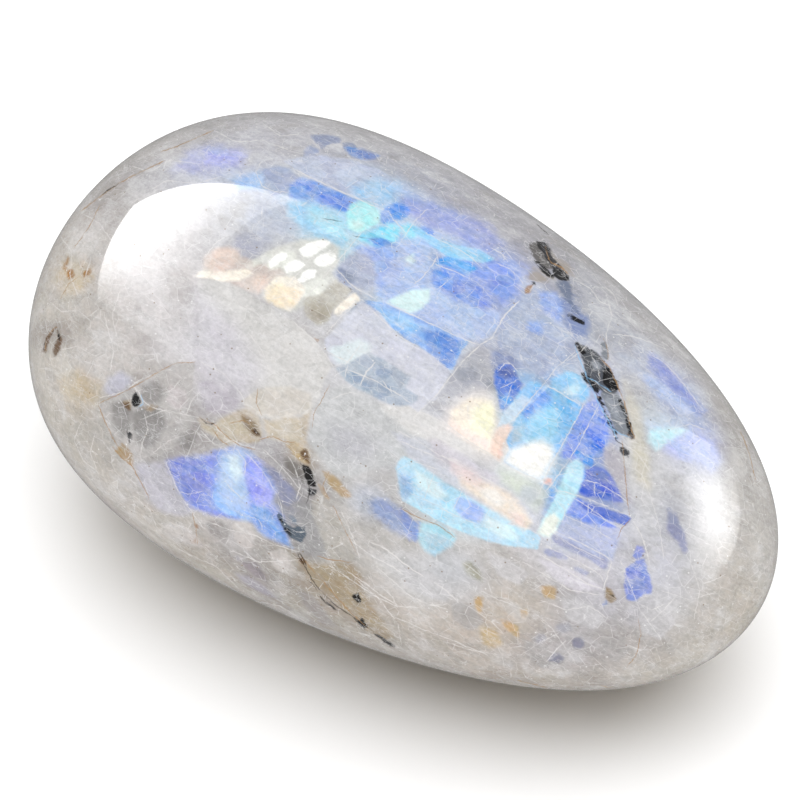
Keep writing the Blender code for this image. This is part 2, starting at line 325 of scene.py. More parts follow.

# Grains and windows, and flashes of blue sheen that are painted in as colour, from the lowest to the topmost
FRONT_GRAINS = {
    "lavender_end": Paint((186, 192, 232), 8, 0.75, (
        (172, 172, 190, 150, 215, 143, 247, 152, 240, 168, 205, 174),
    )),
    "violet_end": Paint((182, 190, 242), 5, 0.8, ((205, 150, 240, 151, 246, 158, 222, 166, 206, 162),)),
    "light_blue_strip": Paint((165, 196, 242), 5, 0.9, ((232, 180, 262, 171, 264, 190, 236, 190),)),
    "grey_blue_grains": Paint((170, 181, 210), 2, 0.8, (
        (262, 170, 275, 166, 290, 168, 300, 180, 296, 190, 285, 193, 270, 197, 262, 186),
        (303, 150, 312, 144, 320, 150, 315, 157, 304, 157),
    )),
    "grey_cloud": Paint((196, 201, 216), 8, 0.7, ((262, 198, 300, 205, 300, 230, 262, 236, 240, 222),)),
    "top_chips": Paint((136, 146, 178), 1.5, 0.85, (
        (310, 135, 325, 134, 340, 137, 342, 143, 330, 144, 322, 150, 314, 141),
        (342, 143, 352, 142, 358, 148, 350, 153, 344, 150),
    )),
    "top_chips_blue": Paint((118, 152, 214), 2, 0.85, (
        (348, 153, 360, 148, 380, 155, 376, 160, 362, 160, 352, 157),
        (344, 147, 356, 147, 358, 152, 350, 153),
    )),
    "pale_plate": Paint((197, 205, 227), 1.5, 0.9, (
        (283, 161, 300, 157, 318, 155, 352, 160, 385, 172, 397, 186, 396, 200, 378, 208, 350, 196,
         316, 180, 297, 170),
    )),
    "pale_plate_blue": Paint((176, 214, 248), 7, 0.9, (
        (352, 186, 380, 177, 398, 186, 396, 200, 378, 207, 356, 198),
    )),
    "blue_band": Paint((138, 173, 239), 2.5, 0.95, (
        (290, 185, 300, 177, 316, 181, 350, 197, 378, 208, 372, 216, 350, 212, 322, 206, 300, 200,
         288, 197),
    )),
    "blue_band_deep": Paint((124, 154, 234), 3.5, 0.85, (
        (318, 189, 340, 195, 352, 201, 346, 212, 330, 208, 320, 201),
        (306, 182, 314, 183, 314, 192, 307, 190),
    )),
    "sky_swath": Paint((172, 217, 248), 5, 0.9, (
        (290, 202, 310, 201, 345, 214, 352, 230, 342, 246, 318, 236, 300, 228, 288, 214),
    )),
    "cyan_swath": Paint((190, 236, 252), 5, 0.85, (
        (306, 207, 330, 212, 346, 222, 350, 238, 338, 242, 322, 230, 308, 218),
    )),
    "haze_blue": Paint((170, 194, 242), 5, 0.9, (
        (352, 250, 368, 244, 402, 244, 420, 262, 420, 300, 380, 298, 372, 276, 362, 254),
    )),
    "cyan_cells": Paint((150, 226, 251), 3, 0.95, (
        (372, 230, 392, 222, 402, 228, 398, 240, 378, 247, 362, 243, 356, 238, 366, 231),
        (402, 226, 412, 224, 416, 236, 404, 240),
    )),
    "blue_cells": Paint((128, 168, 240), 2, 0.9, (
        (380, 212, 392, 203, 402, 201, 412, 207, 410, 216, 398, 220, 386, 226, 378, 220),
        (366, 238, 380, 238, 392, 241, 388, 246, 372, 244),
    )),
    "cyan_spot": Paint((190, 248, 252), 2.5, 0.95, (
        (350, 205, 362, 200, 372, 204, 380, 212, 378, 222, 368, 230, 358, 233, 348, 228, 347, 214),
    )),
    "cyan_spot_core": Paint((222, 253, 250), 4, 0.8, (
        (350, 222, 360, 220, 364, 228, 358, 232, 350, 229),
    )),
    "violet_haze": Paint((164, 175, 226), 6, 0.85, (
        (400, 198, 430, 205, 460, 212, 490, 225, 505, 246, 478, 246, 445, 233, 415, 222),
    )),
    "azure_chips": Paint((108, 160, 242), 2, 0.9, (
        (392, 206, 400, 202, 410, 208, 408, 216, 398, 218, 391, 214),
        (418, 224, 432, 229, 438, 237, 424, 234),
    )),
    "bright_seam": Paint((165, 217, 251), 1.6, 0.95, (
        (406, 221, 420, 229, 440, 240, 462, 246, 478, 249, 497, 259, 484, 263, 466, 260, 448, 257,
         432, 246, 416, 234),
    )),
    "sky_plate": Paint((187, 205, 241), 4, 0.9, (
        (404, 236, 425, 250, 432, 268, 430, 285, 440, 300, 500, 312, 497, 328, 482, 342, 455, 335,
         402, 311, 384, 302, 388, 270),
    )),
    "seam_cells": Paint((120, 182, 247), 2, 0.9, (
        (440, 258, 452, 256, 462, 260, 478, 268, 466, 276, 450, 266, 436, 264),
    )),
    "violet_blue": Paint((150, 172, 240), 6, 0.92, (
        (466, 264, 484, 260, 498, 258, 512, 263, 520, 276, 515, 292, 505, 302, 490, 294, 475, 278),
    )),
    "azure_grain": Paint((122, 164, 243), 4, 0.95, (
        (430, 270, 440, 266, 458, 272, 470, 280, 458, 290, 440, 292, 431, 284),
    )),
    "deep_grain": Paint((136, 162, 236), 5, 0.92, (
        (442, 290, 455, 282, 468, 278, 482, 286, 494, 302, 484, 312, 470, 305, 452, 298),
    )),
    "icy_patch": Paint((226, 252, 250), 2.5, 0.9, (
        (386, 302, 398, 296, 412, 290, 430, 289, 430, 300, 422, 308, 412, 314, 400, 308),
        (404, 258, 414, 254, 416, 262, 408, 266),
    )),
    "sloping_band": Paint((150, 190, 246), 1.6, 0.95, (
        (362, 300, 385, 303, 412, 315, 440, 327, 470, 342, 462, 350, 452, 372, 440, 362, 428, 352,
         408, 340, 385, 323, 372, 311),
    )),
    "sloping_band_light": Paint((164, 212, 252), 5, 0.85, (
        (376, 306, 400, 314, 420, 326, 410, 336, 392, 325, 378, 314),
    )),
    "sloping_band_deep": Paint((123, 158, 226), 3, 0.88, (
        (424, 328, 444, 333, 466, 343, 456, 354, 451, 370, 438, 361, 426, 347),
    )),
    "grey_pane": Paint((181, 189, 212), 4, 0.9, (
        (340, 264, 350, 254, 362, 250, 372, 258, 376, 276, 372, 288, 358, 289, 345, 286, 337, 276),
    )),
    "grey_pane_dark": Paint((128, 142, 165), 4, 0.75, (
        (338, 268, 348, 270, 356, 280, 348, 284, 340, 277),
    )),
    "smoke": Paint((184, 187, 203), 6, 0.85, (
        (238, 236, 262, 229, 272, 240, 256, 256, 238, 256, 232, 246),
    )),
    "cream_ground": Paint((227, 227, 221), 3, 0.92, (
        (244, 264, 262, 256, 272, 248, 298, 240, 325, 238, 340, 247, 339, 262, 331, 274, 337, 280,
         324, 294, 307, 305, 294, 312, 282, 311, 262, 294, 272, 281, 262, 270),
    )),
    "peach_ground": Paint((226, 212, 204), 3, 0.88, (
        (203, 270, 204, 256, 216, 248, 232, 250, 244, 258, 258, 264, 278, 266, 286, 275, 272, 282,
         260, 294, 246, 290, 228, 282),
    )),
    "cream_cells": Paint((262, 254, 240), 2, 0.92, (
        (192, 276, 204, 270, 222, 271, 244, 269, 254, 273, 240, 281, 222, 281, 200, 278),
        (333, 311, 345, 298, 355, 292, 361, 300, 343, 312, 336, 318),
        (264, 290, 276, 276, 298, 278, 306, 290, 298, 302, 290, 311, 275, 306),
    )),
    "peach_cells": Paint((246, 224, 212), 4, 0.8, (
        (206, 264, 214, 250, 230, 247, 240, 252, 238, 262, 228, 270, 212, 274),
        (252, 280, 260, 274, 268, 276, 266, 286, 258, 292),
    )),
    "butter_cells": Paint((262, 246, 218), 4, 0.9, (
        (266, 288, 280, 284, 300, 292, 294, 308, 278, 306, 264, 298),
    )),
    "mint_cells": Paint((247, 249, 241), 3, 0.85, (
        (268, 262, 282, 250, 292, 248, 296, 258, 282, 268, 268, 270),
        (300, 288, 318, 276, 330, 278, 322, 292, 305, 302),
        (244, 266, 270, 252, 272, 256, 250, 269),
    )),
    "white_cells": Paint((274, 274, 270), 1.4, 0.97, (
        (299, 250, 308, 243, 322, 239, 331, 243, 322, 250, 310, 257, 302, 256),
        (313, 261, 322, 254, 332, 251, 338, 256, 331, 265, 320, 267),
        (283, 265, 291, 259, 300, 260, 305, 265, 296, 272, 285, 273),
        (296, 281, 306, 269, 318, 270, 314, 278, 300, 284),
        (268, 262, 277, 254, 286, 251, 288, 257, 280, 263, 271, 268),
    )),
    "sand_pane": Paint((206, 202, 191), 2, 0.9, (
        (304, 297, 318, 296, 336, 280, 352, 290, 346, 299, 332, 311, 330, 320, 318, 326, 303, 314),
    )),
    "sand_pane_dark": Paint((176, 168, 152), 5, 0.7, (
        (308, 306, 322, 302, 330, 312, 324, 322, 312, 318),
    )),
    "milky_grain": Paint((221, 219, 217), 1.8, 0.95, (
        (198, 280, 222, 279, 238, 286, 258, 300, 276, 311, 292, 320, 305, 332, 316, 343, 325, 353,
         332, 366, 325, 379, 319, 397, 313, 408, 304, 416, 297, 410, 288, 417, 276, 418, 262, 418,
         254, 409, 246, 406, 240, 398, 236, 385, 222, 380, 200, 366),
    )),
    "milky_grain_lavender": Paint((211, 208, 216), 16, 0.8, (
        (196, 290, 232, 320, 262, 372, 240, 410, 206, 408, 190, 360),
    )),
    "pale_pane": Paint((217, 219, 231), 1.6, 0.9, (
        (324, 340, 345, 319, 362, 301, 378, 311, 400, 338, 420, 348, 446, 366, 450, 374, 436, 398,
         418, 412, 400, 398, 372, 350, 350, 362, 338, 368, 330, 362),
    )),
    "icy_pane": Paint((229, 241, 243), 4, 0.85, (
        (328, 348, 345, 344, 360, 338, 374, 346, 366, 354, 350, 364, 338, 367),
    )),
    "glass_panes": Paint((184, 195, 209), 1.8, 0.92, (
        (335, 368, 348, 364, 368, 352, 390, 363, 411, 376, 405, 388, 420, 397, 412, 405, 392, 406,
         378, 400, 357, 388, 345, 380),
    )),
    "glass_panes_dark": Paint((160, 176, 197), 1.8, 0.88, (
        (347, 369, 358, 373, 363, 380, 356, 386, 346, 379),
        (361, 382, 371, 379, 376, 386, 369, 392, 360, 388),
        (377, 383, 388, 384, 394, 392, 382, 399, 371, 395),
        (378, 364, 394, 372, 384, 380, 376, 376),
    )),
    "grey_grain": Paint((206, 207, 208), 3, 0.92, (
        (318, 400, 330, 389, 345, 384, 378, 402, 394, 412, 420, 430, 432, 446, 420, 464, 398, 462,
         372, 470, 350, 478, 330, 470, 318, 457, 308, 440),
    )),
    "grey_grain_middle": Paint((193, 192, 200), 14, 0.7, (
        (330, 425, 360, 430, 380, 446, 360, 462, 334, 452),
    )),
    "cream_stripes": Paint((228, 226, 224), 4, 0.85, (
        (378, 402, 410, 405, 440, 420, 470, 440, 470, 452, 440, 450, 410, 432, 384, 412),
    )),
    "tan_body": Paint((206, 194, 176), 3, 0.88, (
        (199, 418, 212, 426, 222, 418, 238, 410, 250, 408, 258, 418, 263, 435, 258, 442, 240, 444,
         225, 444, 214, 436, 202, 430),
        (262, 420, 282, 418, 300, 417, 312, 410, 308, 426, 305, 440, 311, 456, 300, 452, 285, 440,
         268, 438),
    )),
    "ochre_bands": Paint((186, 162, 126), 2.2, 0.85, (
        (286, 444, 296, 442, 312, 458, 308, 466, 295, 456),
        (322, 470, 332, 474, 344, 486, 352, 496, 344, 498, 330, 486),
        (318, 484, 324, 488, 330, 500, 326, 500),
    )),
    "brown_shade": Paint((140, 119, 90), 2, 0.85, (
        (240, 413, 250, 416, 258, 425, 262, 438, 252, 435, 243, 425),
        (244, 436, 258, 437, 262, 441, 246, 442),
    )),
    "cream_crest": Paint((221, 214, 205), 2.2, 0.75, (
        (243, 400, 259, 388, 290, 386, 312, 394, 311, 411, 290, 416, 272, 417, 256, 414, 246, 408),
    )),
    "lilac_grain": Paint((194, 188, 197), 2.5, 0.75, (
        (198, 384, 214, 380, 232, 386, 240, 400, 236, 410, 218, 414, 204, 408),
    )),
    "low_left_panes": Paint((212, 206, 203), 2, 0.8, (
        (232, 524, 250, 522, 256, 536, 250, 550, 236, 544),
        (160, 524, 178, 522, 196, 534, 204, 548, 188, 546, 168, 536),
        (270, 552, 284, 548, 292, 560, 284, 574, 272, 566),
    )),
    "low_left_gaps": Paint((164, 158, 156), 2, 0.8, (
        (206, 520, 220, 520, 230, 530, 226, 542, 210, 534),
        (238, 566, 256, 566, 272, 584, 284, 602, 268, 598, 250, 584),
        (296, 590, 312, 594, 326, 612, 338, 628, 322, 624, 306, 608),
    )),
    "low_right_panes": Paint((208, 206, 208), 2.2, 0.75, (
        (404, 566, 430, 572, 452, 590, 446, 602, 420, 594, 402, 580),
        (486, 552, 512, 560, 530, 574, 520, 586, 498, 576),
        (560, 596, 590, 604, 606, 620, 592, 630, 566, 618),
        (640, 612, 664, 606, 676, 622, 660, 640, 642, 632),
    )),
    "low_right_gaps": Paint((176, 172, 171), 2.2, 0.75, (
        (452, 600, 472, 606, 484, 622, 470, 632, 452, 618),
        (524, 640, 546, 646, 560, 664, 542, 668, 526, 656),
        (600, 636, 622, 634, 632, 650, 616, 664, 600, 652),
    )),
    "smoky_wedge": Paint((165, 162, 163), 3, 0.9, (
        (258, 446, 272, 444, 282, 455, 290, 462, 302, 468, 306, 480, 316, 490, 308, 497, 296, 490,
         284, 478, 268, 462),
    )),
    "smoky_wedge_dark": Paint((124, 119, 115), 3, 0.88, (
        (284, 457, 298, 462, 304, 472, 304, 482, 294, 478, 286, 468),
    )),
    "violet_flash": Paint((150, 168, 238), 4, 0.93, (
        (168, 462, 185, 458, 200, 456, 215, 451, 235, 447, 246, 450, 262, 462, 270, 478, 277, 490,
         274, 502, 282, 515, 286, 534, 290, 544, 280, 542, 264, 534, 250, 519, 228, 517, 205, 513,
         192, 508, 182, 494, 174, 478),
    )),
    "violet_flash_deep": Paint((138, 150, 221), 6, 0.88, (
        (168, 461, 198, 456, 206, 478, 200, 500, 190, 506, 180, 490),
    )),
    "flash_sky": Paint((165, 204, 252), 5, 0.92, (
        (222, 456, 238, 454, 244, 474, 242, 490, 247, 505, 252, 520, 232, 518, 214, 508, 212, 490,
         222, 478),
    )),
    "flash_glow": Paint((196, 218, 249), 7, 0.8, (
        (222, 452, 240, 446, 254, 456, 254, 480, 246, 504, 238, 510, 224, 504, 218, 484, 218, 464),
    )),
    "flash_ice": Paint((226, 244, 253), 4, 0.88, ((228, 456, 238, 456, 243, 474, 236, 482, 229, 470),)),
    "flash_lilac": Paint((164, 174, 249), 2.5, 0.92, (
        (246, 455, 258, 462, 268, 480, 274, 492, 268, 506, 256, 505, 248, 492, 243, 470),
    )),
    "flash_tail": Paint((146, 182, 236), 4, 0.9, (
        (244, 508, 262, 504, 274, 518, 284, 530, 292, 548, 280, 542, 264, 536, 252, 522),
    )),
    "flash_shade": Paint((150, 153, 182), 3, 0.88, (
        (262, 464, 276, 468, 290, 484, 300, 500, 288, 506, 278, 500, 270, 482),
    )),
    "left_glass": Paint((194, 190, 188), 1.3, 0.92, (
        (98, 404, 114, 398, 128, 390, 140, 383, 160, 371, 176, 363, 195, 362, 193, 380, 192, 396,
         184, 412, 196, 420, 186, 440, 160, 456, 140, 458, 132, 452, 120, 440, 108, 430),
    )),
    "left_glass_dark": Paint((150, 147, 145), 4, 0.85, (
        (112, 404, 126, 399, 131, 410, 130, 430, 122, 438, 112, 424),
        (132, 414, 142, 406, 158, 406, 166, 420, 160, 440, 146, 448, 134, 440),
        (140, 384, 156, 380, 166, 390, 160, 402, 144, 404),
        (176, 440, 190, 430, 196, 444, 184, 452),
    )),
    "left_glass_pink": Paint((206, 198, 199), 3, 0.8, (
        (170, 386, 188, 392, 186, 404, 178, 411, 166, 402),
    )),
    "left_lavender": Paint((200, 200, 214), 4, 0.8, (
        (103, 392, 108, 378, 120, 371, 132, 378, 128, 388, 114, 396),
    )),
    "left_brown": Paint((174, 154, 128), 2, 0.88, (
        (114, 450, 126, 440, 132, 452, 134, 465, 124, 459, 118, 454),
        (123, 402, 131, 399, 131, 409, 127, 409),
        (142, 408, 152, 404, 158, 407, 150, 412),
    )),
    "left_stain": Paint((206, 189, 162), 8, 0.7, (
        (60, 378, 80, 370, 100, 384, 94, 405, 74, 402, 62, 394),
        (60, 262, 84, 262, 96, 274, 84, 292, 64, 296, 56, 280),
    )),
    "lilac_side": Paint((196, 194, 204), 4, 0.85, (
        (136, 464, 165, 461, 178, 490, 193, 513, 180, 516, 162, 512, 148, 500, 140, 482),
    )),
    "low_panes": Paint((152, 145, 149), 1.6, 0.88, (
        (239, 561, 256, 562, 264, 574, 268, 583, 256, 577, 246, 568),
    )),
    "low_panes_lilac": Paint((172, 167, 178), 2.2, 0.85, (
        (234, 572, 250, 577, 266, 588, 276, 598, 262, 593, 242, 582),
        (236, 556, 246, 556, 240, 560, 234, 562),
    )),
    "slate_halo": Paint((160, 159, 160), 7, 0.85, (
        (296, 500, 312, 500, 322, 525, 330, 552, 318, 562, 300, 556, 290, 544, 298, 520),
    )),
    "pearl_wedge": Paint((184, 179, 172), 3, 0.85, (
        (318, 492, 332, 506, 346, 540, 356, 560, 330, 560, 318, 530, 310, 505),
    )),
    "tan_wedge": Paint((166, 150, 128), 4, 0.9, (
        (297, 560, 320, 563, 352, 563, 362, 575, 360, 588, 372, 606, 394, 636, 384, 641, 360, 624,
         342, 606, 322, 592, 306, 576),
    )),
    "slate_blue": Paint((158, 174, 218), 5, 0.85, (
        (368, 500, 385, 499, 402, 510, 408, 526, 410, 538, 396, 532, 382, 522, 372, 512),
    )),
    "royal_blue_low": Paint((136, 160, 224), 2.2, 0.88, (
        (400, 508, 406, 513, 414, 522, 421, 522, 418, 542, 410, 541, 404, 530),
    )),
    "pale_cyan_low": Paint((180, 225, 243), 3, 0.88, (
        (421, 522, 440, 524, 456, 536, 452, 546, 436, 556, 424, 550, 418, 540),
    )),
    "band_ground": Paint((209, 211, 221), 3, 0.9, (
        (392, 432, 424, 440, 470, 462, 520, 484, 544, 500, 538, 530, 508, 514, 480, 503, 440, 480,
         408, 456),
    )),
    "long_band": Paint((190, 229, 250), 1.6, 0.95, (
        (402, 456, 420, 463, 445, 481, 480, 503, 510, 519, 541, 536, 538, 549, 505, 546, 470, 535,
         440, 522, 418, 509, 402, 500, 398, 480, 396, 466),
    )),
    "long_band_violet": Paint((172, 192, 246), 2.5, 0.8, (
        (458, 496, 474, 502, 486, 510, 480, 524, 462, 518, 454, 508),
    )),
    "long_band_slate": Paint((150, 182, 222), 4, 0.85, (
        (399, 474, 410, 478, 414, 492, 406, 500, 400, 494),
    )),
    "long_band_white": Paint((226, 246, 250), 3, 0.85, (
        (414, 468, 436, 482, 448, 496, 436, 500, 418, 486),
        (486, 516, 512, 527, 520, 540, 500, 538, 484, 526),
    )),
    "strip_lilac": Paint((214, 209, 217), 4, 0.88, (
        (428, 438, 440, 440, 462, 456, 486, 470, 500, 478, 498, 490, 480, 488, 456, 474, 436, 460),
    )),
    "strip_green": Paint((206, 213, 208), 5, 0.88, (
        (498, 466, 520, 474, 540, 484, 548, 492, 544, 506, 536, 512, 524, 500, 508, 488, 498, 480),
    )),
    "straw_cells": Paint((246, 232, 215), 4, 0.9, (
        (458, 472, 470, 476, 492, 484, 510, 494, 524, 508, 532, 522, 526, 531, 512, 522, 494, 510,
         474, 495, 460, 484),
    )),
    "straw_white": Paint((246, 242, 236), 4, 0.85, ((476, 486, 494, 490, 506, 502, 500, 510, 486, 500),)),
    "green_haze": Paint((222, 229, 216), 6, 0.7, ((502, 472, 526, 480, 534, 492, 518, 492, 504, 484),)),
    "rose_cells": Paint((238, 218, 216), 5, 0.8, (
        (450, 460, 468, 468, 482, 478, 484, 488, 466, 482, 452, 472),
        (510, 512, 524, 516, 524, 528, 512, 522),
    )),
    "grey_ring": Paint((200, 206, 213), 3, 0.8, ((522, 486, 534, 486, 538, 496, 530, 504, 520, 498),)),
    "smoke_pane": Paint((184, 185, 193), 3, 0.9, (
        (462, 356, 478, 345, 492, 350, 497, 364, 494, 388, 482, 392, 468, 396, 450, 400, 440, 396,
         450, 376),
    )),
    "smoke_pane_dark": Paint((160, 164, 176), 4, 0.85, (
        (458, 366, 474, 362, 480, 378, 466, 384, 456, 376),
        (484, 380, 494, 376, 496, 390, 486, 394),
    )),
    "butter_ground": Paint((240, 234, 232), 7, 0.85, (
        (440, 428, 444, 410, 458, 398, 474, 390, 490, 390, 496, 404, 498, 430, 500, 455, 486, 456,
         466, 444),
    )),
    "butter_flash": Paint((262, 252, 236), 4, 0.92, (
        (448, 424, 452, 410, 462, 402, 474, 397, 487, 397, 494, 404, 494, 426, 498, 440, 497, 456,
         484, 452, 466, 441),
    )),
    "lemon_flash": Paint((266, 264, 232), 5, 0.95, ((472, 410, 492, 401, 495, 428, 484, 438, 472, 430),)),
    "rose_flash": Paint((258, 238, 232), 5, 0.9, (
        (450, 418, 466, 432, 488, 440, 490, 453, 470, 441, 450, 430),
    )),
    "dove_plate": Paint((181, 191, 215), 3, 0.88, (
        (523, 284, 540, 290, 562, 300, 562, 320, 576, 345, 562, 358, 542, 376, 520, 372, 500, 356,
         497, 336, 506, 318, 520, 302),
    )),
    "dove_plate_blue": Paint((146, 174, 238), 4, 0.85, (
        (538, 290, 556, 292, 564, 304, 560, 322, 548, 316, 540, 304),
        (528, 322, 544, 322, 540, 334, 528, 330),
    )),
    "smoke_top": Paint((140, 152, 188), 4, 0.85, (
        (490, 352, 506, 348, 516, 358, 518, 368, 504, 368, 494, 376),
    )),
    "royal_triangle": Paint((92, 130, 218), 2.2, 0.93, (
        (495, 371, 501, 365, 512, 364, 519, 376, 523, 385, 517, 395, 509, 408, 501, 412, 498, 395,
         494, 382),
    )),
    "royal_triangle_dark": Paint((98, 112, 172), 2.5, 0.85, ((496, 371, 511, 365, 517, 376, 502, 379),)),
    "royal_triangle_light": Paint((120, 175, 244), 2, 0.85, (
        (499, 398, 510, 392, 512, 402, 506, 410, 501, 411),
    )),
    "sky_wedge": Paint((152, 206, 251), 1.6, 0.92, (
        (524, 386, 533, 380, 543, 384, 531, 398, 516, 412, 503, 419, 509, 408, 517, 396),
    )),
    "blue_tile": Paint((150, 203, 250), 1.6, 0.95, (
        (545, 384, 556, 388, 568, 397, 583, 405, 576, 420, 563, 440, 556, 455, 546, 471, 541, 480,
         520, 472, 502, 462, 510, 450, 506, 440, 513, 425, 520, 413, 532, 398),
    )),
    "blue_tile_deep": Paint((130, 173, 245), 4, 0.88, (
        (542, 387, 553, 392, 550, 405, 535, 416, 524, 420, 522, 411, 532, 399),
    )),
    "blue_tile_right": Paint((138, 196, 250), 3, 0.85, (
        (558, 396, 578, 406, 572, 422, 562, 438, 556, 420),
    )),
    "tile_cyan": Paint((168, 222, 252), 7, 0.88, (
        (534, 412, 552, 404, 562, 412, 558, 430, 552, 448, 540, 452, 526, 446, 522, 430),
    )),
    "tile_white": Paint((272, 270, 264), 6, 0.97, (
        (503, 461, 510, 450, 524, 444, 542, 440, 553, 447, 554, 459, 547, 471, 541, 481, 520, 472),
    )),
    "tile_grey": Paint((192, 204, 212), 4, 0.8, ((512, 428, 526, 425, 522, 440, 511, 446),)),
    "cyan_block": Paint((160, 214, 252), 3, 0.92, (
        (552, 378, 568, 371, 584, 378, 590, 392, 584, 404, 568, 396, 550, 388),
    )),
    "cyan_block_core": Paint((214, 241, 253), 3, 0.85, (
        (568, 386, 578, 381, 582, 390, 574, 396, 566, 392),
    )),
    "icy_seam": Paint((214, 232, 249), 1.5, 0.85, (
        (497, 427, 503, 414, 513, 401, 521, 391, 528, 388, 516, 404, 532, 396, 546, 383, 549, 386,
         530, 404, 514, 420, 506, 427),
    )),
    "peach_seam": Paint((250, 224, 210), 2.5, 0.92, (
        (490, 453, 492, 440, 496, 430, 506, 423, 513, 426, 505, 440, 501, 450, 501, 462, 496, 460),
    )),
    "orange_bit": Paint((246, 200, 182), 2.5, 0.85, (
        (492, 451, 500, 447, 503, 455, 498, 459),
        (544, 479, 552, 478, 552, 485, 545, 484),
    )),
    "violet_tiles": Paint((138, 164, 243), 2.4, 0.9, (
        (583, 406, 596, 399, 604, 408, 609, 425, 609, 438, 598, 452, 586, 462, 571, 460, 560, 456,
         568, 438, 576, 420),
        (562, 500, 573, 496, 590, 504, 612, 520, 616, 529, 600, 526, 584, 521, 566, 514),
    )),
    "royal_cells": Paint((80, 128, 238), 1.6, 0.92, (
        (585, 431, 592, 428, 595, 438, 586, 442),
        (594, 441, 602, 438, 605, 446, 595, 451, 590, 446),
    )),
    "azure_cells": Paint((116, 172, 248), 1.8, 0.9, (
        (572, 452, 580, 449, 584, 457, 576, 462),
        (583, 455, 594, 455, 592, 467, 583, 463),
        (569, 464, 580, 461, 586, 470, 584, 486, 574, 490, 567, 478),
        (548, 488, 556, 490, 555, 503, 549, 500),
    )),
    "ice_cells": Paint((198, 240, 253), 2, 0.93, (
        (568, 464, 578, 457, 584, 466, 583, 480, 575, 498, 565, 514, 556, 530, 548, 539, 536, 532,
         546, 514, 555, 497, 562, 480),
    )),
    "ice_white": Paint((250, 252, 240), 3, 0.9, (
        (538, 532, 544, 518, 553, 512, 560, 520, 556, 530, 548, 539),
    )),
    "indigo_ground": Paint((118, 138, 214), 2, 0.92, (
        (580, 476, 592, 466, 604, 468, 614, 478, 620, 492, 624, 502, 612, 502, 598, 498, 584, 496,
         578, 488),
    )),
    "indigo_cells": Paint((98, 124, 212), 1.2, 0.93, (
        (580, 482, 590, 480, 594, 488, 591, 497, 583, 497, 578, 490),
        (588, 471, 600, 469, 606, 476, 600, 481, 590, 478),
        (595, 484, 604, 482, 607, 490, 603, 498, 596, 496),
        (608, 484, 616, 488, 614, 496, 606, 499, 606, 490),
        (576, 500, 602, 507, 632, 517, 626, 526, 604, 519, 584, 510),
    )),
    "indigo_pane": Paint((128, 142, 190), 2, 0.85, ((588, 473, 600, 469, 608, 474, 610, 484, 596, 480),)),
    "lilac_plate": Paint((188, 196, 226), 2.5, 0.88, (
        (560, 516, 600, 528, 622, 529, 612, 563, 590, 552, 558, 536),
    )),
    "lamella_dark": Paint((168, 172, 204), 1.6, 0.85, (
        (551, 533, 566, 537, 600, 552, 609, 562, 606, 571, 590, 560, 565, 549, 552, 541),
        (543, 548, 556, 550, 569, 556, 566, 560, 545, 555),
        (574, 565, 590, 572, 586, 577, 574, 571),
    )),
    "white_plate": Paint((219, 215, 223), 2.5, 0.88, (
        (538, 558, 560, 565, 590, 578, 602, 589, 576, 592, 552, 577),
    )),
    "greige_strip": Paint((188, 184, 192), 3, 0.85, (
        (604, 450, 612, 442, 622, 456, 628, 480, 632, 505, 622, 496, 612, 476, 604, 464),
    )),
    "right_indigo": Paint((140, 154, 224), 1.8, 0.9, (
        (626, 568, 636, 561, 644, 558, 649, 574, 652, 586, 653, 594, 644, 594, 636, 601, 627, 600,
         624, 584),
        (632, 556, 637, 546, 645, 547, 643, 557, 636, 560),
    )),
    "right_cells": Paint((122, 142, 216), 1.8, 0.85, (
        (626, 569, 636, 562, 640, 566, 630, 576),
        (638, 576, 645, 563, 649, 576, 643, 588),
    )),
    "right_sky": Paint((192, 206, 243), 5, 0.88, (
        (640, 374, 660, 376, 684, 398, 697, 414, 682, 412, 656, 392),
    )),
    "right_violet": Paint((150, 163, 218), 4, 0.88, (
        (650, 353, 660, 358, 674, 374, 692, 396, 706, 412, 698, 415, 680, 398, 660, 380, 648, 366),
    )),
    "right_ice": Paint((206, 240, 250), 3.5, 0.9, (
        (650, 430, 672, 427, 688, 430, 673, 441, 656, 451, 647, 441),
    )),
    "right_lilac": Paint((192, 202, 245), 5, 0.88, (
        (668, 442, 690, 432, 712, 441, 721, 462, 712, 472, 700, 462, 680, 458, 664, 450),
    )),
    "right_window": Paint((152, 157, 187), 2.5, 0.85, (
        (668, 507, 676, 514, 683, 530, 688, 550, 684, 554, 677, 541, 667, 530),
    )),
    "right_beige": Paint((214, 207, 187), 6, 0.7, (
        (624, 380, 640, 410, 648, 450, 650, 490, 636, 480, 630, 440),
    )),
    "low_cells": Paint((140, 140, 158), 2, 0.85, (
        (572, 640, 577, 636, 584, 639, 584, 646, 578, 650, 573, 646),
        (547, 660, 557, 650, 564, 658, 561, 663),
    )),
    "low_cells_pale": Paint((163, 162, 173), 3, 0.8, (
        (534, 640, 542, 632, 546, 638, 540, 644),
        (556, 626, 568, 622, 572, 630, 560, 634),
    )),
    "low_ochre": Paint((200, 172, 130), 2.2, 0.92, (
        (474, 598, 483, 596, 482, 611, 476, 617),
        (501, 619, 519, 626, 518, 638, 504, 628),
        (540, 586, 556, 586, 555, 599, 544, 597),
        (520, 610, 529, 610, 524, 620),
    )),
    "low_sand": Paint((198, 178, 144), 3, 0.9, ((480, 627, 495, 629, 503, 643, 492, 649, 481, 643),)),
    "moss_specks": Paint((160, 158, 140), 3, 0.8, (
        (463, 563, 472, 561, 480, 572, 483, 583, 474, 578, 466, 572),
    )),
    "low_knot": Paint((150, 128, 98), 1.6, 0.88, ((606, 586, 612, 590, 618, 600, 610, 604, 604, 597),)),
    "low_knot_blue": Paint((108, 138, 200), 1.4, 0.88, ((603, 602, 608, 600, 606, 607, 602, 607),)),
    "chestnut_bits": Paint((170, 128, 78), 1.4, 0.85, (
